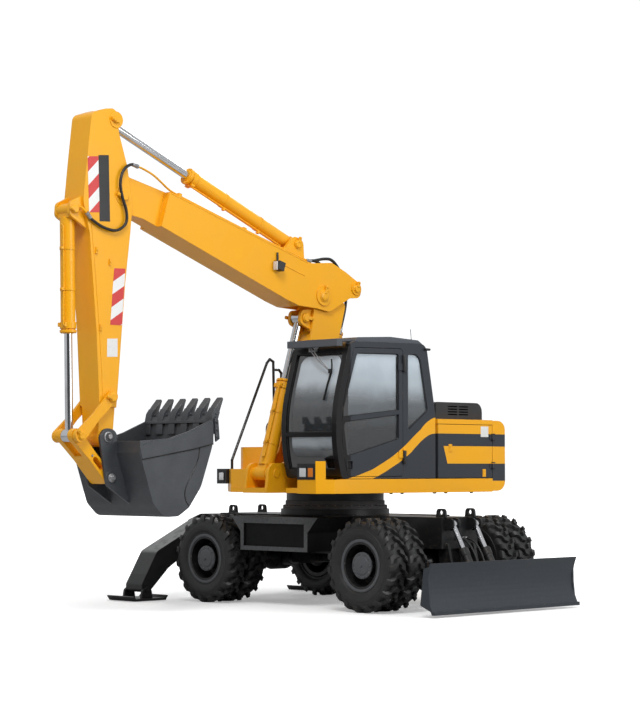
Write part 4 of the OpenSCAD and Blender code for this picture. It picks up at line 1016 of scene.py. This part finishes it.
def dressLamps():
    for name, (middle, wide, tall) in lamps.items():
        place, rim = facing(up(*middle), forward), Form()
        lens = Form().tiers(place, [(off, wide * s, tall * s) for off, s in bulge])
        lens.done(f"{name}_lamp_lens", "upper", "amber" if name == "amber" else "lens", 0.003)
        corners = [place @ Vector((a * wide, b * tall, 0.003)) for a, b in square]
        for pair in zip(corners, corners[1:] + corners[:1]):
            rim.pipe(pair, 0.0065, 8, 2)
        rim.done(f"{name}_lamp_rim", "upper", "plastic")
    low, high = (Vector(corner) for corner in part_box("boom_lamp"))
    middle, half = (low + high) / 2, (high - low) / 2
    place = facing(Vector((middle.x, low.y, middle.z)), forward)
    lens = Form().tiers(place, [(off, half.x * s, half.z * s) for off, s in boomBulge])
    lens.done("boom_lamp_lens", "upper_boom", "lens", 0.003)
    stalk = Form()
    stalk.block((low.x + 0.01, middle.y - 0.014, high.z - 0.004),
                (low.x + 0.018, middle.y + 0.014, high.z + 0.1))
    stalk.done("boom_lamp_stalk", "upper_boom", "plastic", 0.002)


body = {
    "label": (-1.35, 2.064), "labelHalf": (0.07, 0.064), "latches": [(-0.72, 1.86), (-1.34, 1.56)],
    "bolts": [0.23, 0.04, -0.53, -0.73, -1.2], "seam": -0.5, "seamHeights": (1.5, 1.7, 1.9, 2.1),
    "weightEyes": (-1.85, 0.55),
    "hoodBolts": [(-1.42, 0.9), (-1.42, -0.2), (-0.75, 0.9), (-0.75, -0.2)],
}


def leftDoor(u, z):
    return onto("left_service_door", up(u, 2, z), -left)[0]


def rightSide(u, z):
    return onto("right_body", up(u, -2, z), left)[0]


def latch(form, at, way):
    # a flush paddle in its frame
    place = facing(at, way)
    form.tiers(place, [(-0.003, 0.03, 0.048), (0.004, 0.03, 0.048)])
    form.tiers(place, [(0.003, 0.021, 0.036), (0.008, 0.021, 0.036)])
    form.bolt(place @ Vector((0, 0.02, 0.0075)), way, 0.007)


def dressBody():
    rows = [(off, *body["labelHalf"]) for off in (-0.001, 0.0015)]
    label = Form().tiers(facing(leftDoor(*body["label"]), left), rows)
    label.done("service_label", "left_service_door", "label", 0.0005)
    pulls, far, nuts, top = Form(), Form(), Form(), Form()
    for u, z in body["latches"]:
        latch(pulls, leftDoor(u, z), left)
        latch(far, rightSide(u, z), -left)
    pulls.done("service_door_latches", "left_service_door", "paint", 0.0015)
    far.pipe([rightSide(body["seam"], z) for z in body["seamHeights"]], 0.0035, 6, 1)
    far.done("right_panel_latches", "upper", "gloss", 0.0015)
    eyeU, eyeV = body["weightEyes"]
    for hand in (-1, 1):
        for u in body["bolts"]:
            nuts.bolt(onto("upper_frame", up(u, hand * 1.15, 1.0), upward)[0], -upward, 0.02)
        spot = onto("counterweight", up(eyeU, hand * eyeV, 4), -upward)[0]
        eye = [(0.05, -0.004), (0.05, 0.008), (0.043, 0.012), (0.01, 0.012)]
        nuts.turn(eye, 28, Matrix.Translation(spot))
        nuts.bolt(spot + upward * 0.011, upward, 0.022)
    nuts.done("deck_bolts", "upper", "black")
    for u, v in body["hoodBolts"]:
        top.bolt(*onto("engine_hood", up(u, v, 4), -upward), 0.011)
    top.done("hood_bolts", "engine_hood", "zinc")


seat = {
    "cushion": ((0.055, 0.545, 1.868), (0.548, 1.015, 1.972)), "sides": (0.565, 0.995),
    "headSides": (0.64, 0.92), "back": [(-0.05, 1.985), (0.072, 1.99), (0.012, 2.44), (-0.1, 2.44)],
    "head": [(-0.098, 2.455), (0.0, 2.455), (-0.012, 2.575), (-0.1, 2.572)], "voxel": 0.009,
    "cap": 0.014, "pressure": 4.0, "frames": 20, "fill": 0.6, "bellows": (0.27, 0.78, 1.575),
    "folds": 9,
    "base": [((0.06, 0.56, 1.825), (0.53, 1.0, 1.866)), ((0.05, 0.6, 1.567), (0.49, 0.96, 1.59)),
        ((-0.118, 0.6, 1.9), (-0.085, 0.96, 2.43))], "foldStep": 0.03,
    "foldRing": [(-1, -0.8), (-0.8, -1), (0.8, -1), (1, -0.8), (1, 0.8), (0.8, 1), (-0.8, 1),
        (-1, 0.8)], "seamSides": (0.665, 0.895),
    "seams": [[(0.545, 1.95), (0.5, 1.985), (0.3, 1.988), (0.1, 1.984)],
        [(0.083, 2.0), (0.058, 2.2), (0.026, 2.42)]],
}


def settle(piece, keepName):
    # takes what the modifiers made as the piece's own mesh
    done = bpy.data.meshes.new_from_object(piece.evaluated_get(bpy.context.evaluated_depsgraph_get()))
    piece.modifiers.clear()
    piece.data = done
    done.name = keepName


def pad(name, form):
    # a cover swollen by its filling: the cloth is run, held to a small movement and kept
    piece = form.done(name, "upper", "fabric", 0.02)
    even = piece.modifiers.new("even", "REMESH")
    even.mode, even.voxel_size = "VOXEL", seat["voxel"]
    settle(piece, name)
    start = [v.co.copy() for v in piece.data.vertices]
    cover = piece.modifiers.new("cover", "CLOTH")
    cover.settings.use_pressure, cover.settings.uniform_pressure_force = True, seat["pressure"]
    cover.settings.effector_weights.gravity = 0
    for step in range(1, seat["frames"] + 1):
        scene.frame_set(step)
    settle(piece, name)
    scene.frame_set(1)
    for vertex, before in zip(piece.data.vertices, start):
        move = vertex.co - before
        if move.length > seat["cap"]:
            vertex.co = before + move.normalized() * seat["cap"]
    soft = piece.modifiers.new("round", "SUBSURF")
    soft.levels = soft.render_levels = 1
    settle(piece, name)
    piece.data.shade_smooth()


def makeSeat():
    flip = frameOf(chassisAt, forward, upward, left)
    pad("seat_cushion", Form(upperFrame).block(*seat["cushion"]))
    pad("seat_back", Form(flip).prism(seat["back"], *seat["sides"]))
    pad("seat_headrest", Form(flip).prism(seat["head"], *seat["headSides"]))
    base, seams = Form(upperFrame), Form(flip)
    u, v, z = seat["bellows"]
    halves = [0.185 if i % 2 else 0.165 for i in range(seat["folds"])]
    base.loft([[(u + a * half, v + b * half, z + i * seat["foldStep"]) for a, b in seat["foldRing"]]
               for i, half in enumerate(halves)])
    for low, high in seat["base"]:
        base.block(low, high)
    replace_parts(base.done("seat_base", "upper", "plastic", 0.004), "operator_seat")
    for side in seat["seamSides"]:
        for run in seat["seams"]:
            seams.pipe([(a, b, side) for a, b in run], 0.004, 6, 4)
    seams.done("seat_seams", "upper", "seal")


stick = {
    "u": 0.56, "middle": 0.78, "aside": 0.32, "lean": 0.16,
    "grip": [(0.016, -0.03), (0.02, -0.02), (0.026, 0.0), (0.024, 0.03), (0.027, 0.06), (0.031, 0.09),
        (0.03, 0.112), (0.02, 0.124), (0.006, 0.126)],
    "boot": [(0.045, -0.175), (0.047, -0.16), (0.036, -0.13), (0.04, -0.12), (0.028, -0.09),
        (0.032, -0.08), (0.02, -0.05)],
}
monitor = {
    "at": (0.86, 0.5, 2.16),
    "case": [((-0.11, -0.08, -0.02), (0.11, 0.08, 0.02)),
        ((-0.098, -0.068, -0.024), (0.098, 0.068, -0.018))],
    "stand": [(0, -0.07, 0.01), (0.0, -0.2, 0.02), (0.0, -0.42, 0.02)],
}


def dressCabInside():
    for hand, name in ((-1, "right"), (1, "left")):
        v = stick["middle"] + hand * stick["aside"]
        at = Matrix.Translation(onto("controls", up(stick["u"], v, 3), -upward)[0])
        grip = Form()
        grip.turn(stick["grip"], 24, at @ Matrix.Rotation(stick["lean"], 4, "X"))
        grip.turn(stick["boot"], 24, at)
        grip.done(f"{name}_joystick", "upper", "plastic")
        rest = Form(upperFrame).block((0.12, v - 0.05, 2.082), (0.44, v + 0.05, 2.115))
        rest.done(f"{name}_arm_rest", "upper", "plastic", 0.012)
    across, out = Vector((0.5, 0.86, 0)).normalized(), Vector((0.86, -0.5, 0)).normalized()
    panel = Form(frameOf(up(*monitor["at"]), across, upward, out))
    for low, high in monitor["case"]:
        panel.block(low, high)
    panel.pipe(monitor["stand"], 0.014, 10, 4)
    panel.done("cab_monitor", "upper", "plastic", 0.004)


chassis = {
    "ringBolts": 40, "ringRadius": 0.621, "ringStep": 1.17, "hoseRadius": 0.0115, "pinLift": 0.062,
    "hoseSides": {"left": 1.1, "right": 0.98}, "hoseBend": [(1.8, 0.81), (2.16, 0.48)],
    "bladeHose": [(1.716, 0.82), (1.79, 0.815), (1.9, 0.77), (1.985, 0.66), (2.04, 0.55), (2.12, 0.487),
        (2.2, 0.48), (2.249, 0.48)],
}


def dressChassis():
    ring = Form()
    for i in range(chassis["ringBolts"]):
        a, r = 2 * math.pi * i / chassis["ringBolts"], chassis["ringRadius"]
        spot = chassisAt + Vector((r * math.cos(a), r * math.sin(a), chassis["ringStep"]))
        ring.bolt(spot, upward, 0.0105)
    ring.done("slew_ring_bolts", "chassis", "zinc")
    for name, y in chassis["hoseSides"].items():
        points, bend = ([(x, y, z) for x, z in chassis[key]] for key in ("bladeHose", "hoseBend"))
        hose(f"blade_hose_{name}", points, chassis["hoseRadius"], "chassis", "blade", bend)
    for side in ("left", "right"):
        node, at = "stabilizer_" + side, pinAt("stabilizer_" + side)
        ends = Form()
        for way in (left, -left):
            edge = onto(node, at + way * 0.9 + upward * chassis["pinLift"], -way)[0]
            spot = Vector((edge.x, at.y, at.z))
            washer = [(0.055, -0.004), (0.055, 0.01), (0.048, 0.014), (0.01, 0.014)]
            ends.turn(washer, 28, facing(spot, way))
            ends.bolt(spot + way * 0.013, way, 0.022)
        ends.done(f"stabilizer_{side}_pin_ends", node, "black")


dressCab()
makeWiper()
dressRoof()
dressLamps()
print("cab trimmed")
makeSeat()
dressCabInside()
print("seat made")
dressBody()
dressChassis()
print("body and chassis dressed")

camera = {
    "at": up(18.027, 17.885, 1.641), "yaw": -0.7887, "pitch": 0.0494, "focal": 2081.0,
    "photoHeight": 727,
}


def makeCamera():
    data = bpy.data.cameras.new("photo camera")
    data.sensor_width = 36.0
    data.lens = camera["focal"] / camera["photoHeight"] * data.sensor_width
    data.clip_end = 200
    shot = bpy.data.objects.new("photo camera", data)
    yaw, pitch = camera["yaw"], camera["pitch"]
    aim = Vector((math.sin(yaw) * math.cos(pitch), math.cos(yaw) * math.cos(pitch), math.sin(pitch)))
    shot.location = camera["at"]
    shot.rotation_euler = aim.to_track_quat("-Z", "Y").to_euler()
    scene.collection.objects.link(shot)
    scene.camera = shot


# each light's place from the machine's middle, its size and its power
studio = {
    "sky": 0.6, "skyColour": rgb(0.97, 0.985, 1.0), "unlit": (0.8, 0.88), "unlitDepth": 0.9,
    "behind": 1.06, "floorTone": 0.9, "floorBounce": 0.46, "floorGlow": 0.3, "floorReach": 90,
    "fade": (5, 16), "middle": up(1.2, 0, 2.2),
    "lights": {"key": ((9, -9, 13), 7, 1650), "fill": ((15, 4, 4), 8, 760),
        "rim": ((-8, 9, 9), 6, 500)},
}


def areaLight(name, at, size, power):
    data = bpy.data.lights.new(name, "AREA")
    data.shape, data.size, data.energy = "DISK", size, power
    light = bpy.data.objects.new(name, data)
    light.location = studio["middle"] + at
    light.rotation_euler = (-at).to_track_quat("-Z", "Y").to_euler()
    scene.collection.objects.link(light)


def fromCamera(tree):
    return Sock(tree, tree.nodes.new("ShaderNodeLightPath").outputs["Is Camera Ray"])


def makeSky():
    # white to the camera, dimmer as a light, and unlit on the camera's side
    scene.world = bpy.data.worlds.new("studio")
    scene.world.use_nodes = True
    tree = scene.world.node_tree
    sky = tree.nodes["Background"]
    sky.inputs["Color"].default_value = studio["skyColour"]
    seen = fromCamera(tree)
    ray = Sock(tree, tree.nodes.new("ShaderNodeTexCoord").outputs["Generated"])
    unlit = ray.dot((camera["at"] - slewAt).normalized()).ramp(*studio["unlit"])
    lit = studio["sky"] - unlit * studio["sky"] * studio["unlitDepth"]
    tree.links.new((seen * studio["behind"] + (1 - seen) * lit).socket, sky.inputs["Strength"])


def makeFloor():
    # pale to the camera, darker as a light under the machine
    mesh, reach = bpy.data.meshes.new("floor"), studio["floorReach"]
    mesh.from_pydata([(a * reach, b * reach, 0) for a, b in square], [], [(0, 1, 2, 3)])
    floor = bpy.data.objects.new("floor", mesh)
    finish = Finish("pale floor", Emission_Strength=1.0, Roughness=0.9)
    tone, bounce, glow = (rgb(*[studio[key]] * 3) for key in ("floorTone", "floorBounce", "floorGlow"))
    direct = fromCamera(finish.tree)
    far = finish.at.make("VectorMath", {"operation": "LENGTH"}, {0: finish.at}, "Value")
    away = far.ramp(*studio["fade"])
    pale = finish.at.patches(0.4, 0.2, 0.9, 4).mix(tone, times(tone, 1.02))
    glowing = direct.mix(rgb(0, 0, 0), away.mix(glow, rgb(1, 1, 1)))
    mesh.materials.append(finish.feed(Base_Color=direct.mix(bounce, pale), Emission_Color=glowing))
    scene.collection.objects.link(floor)


makeCamera()
makeSky()
for name, (at, size, power) in studio["lights"].items():
    areaLight(name, Vector(at), size, power)
makeFloor()
scene.view_settings.view_transform = "Standard"
print("camera and studio set")
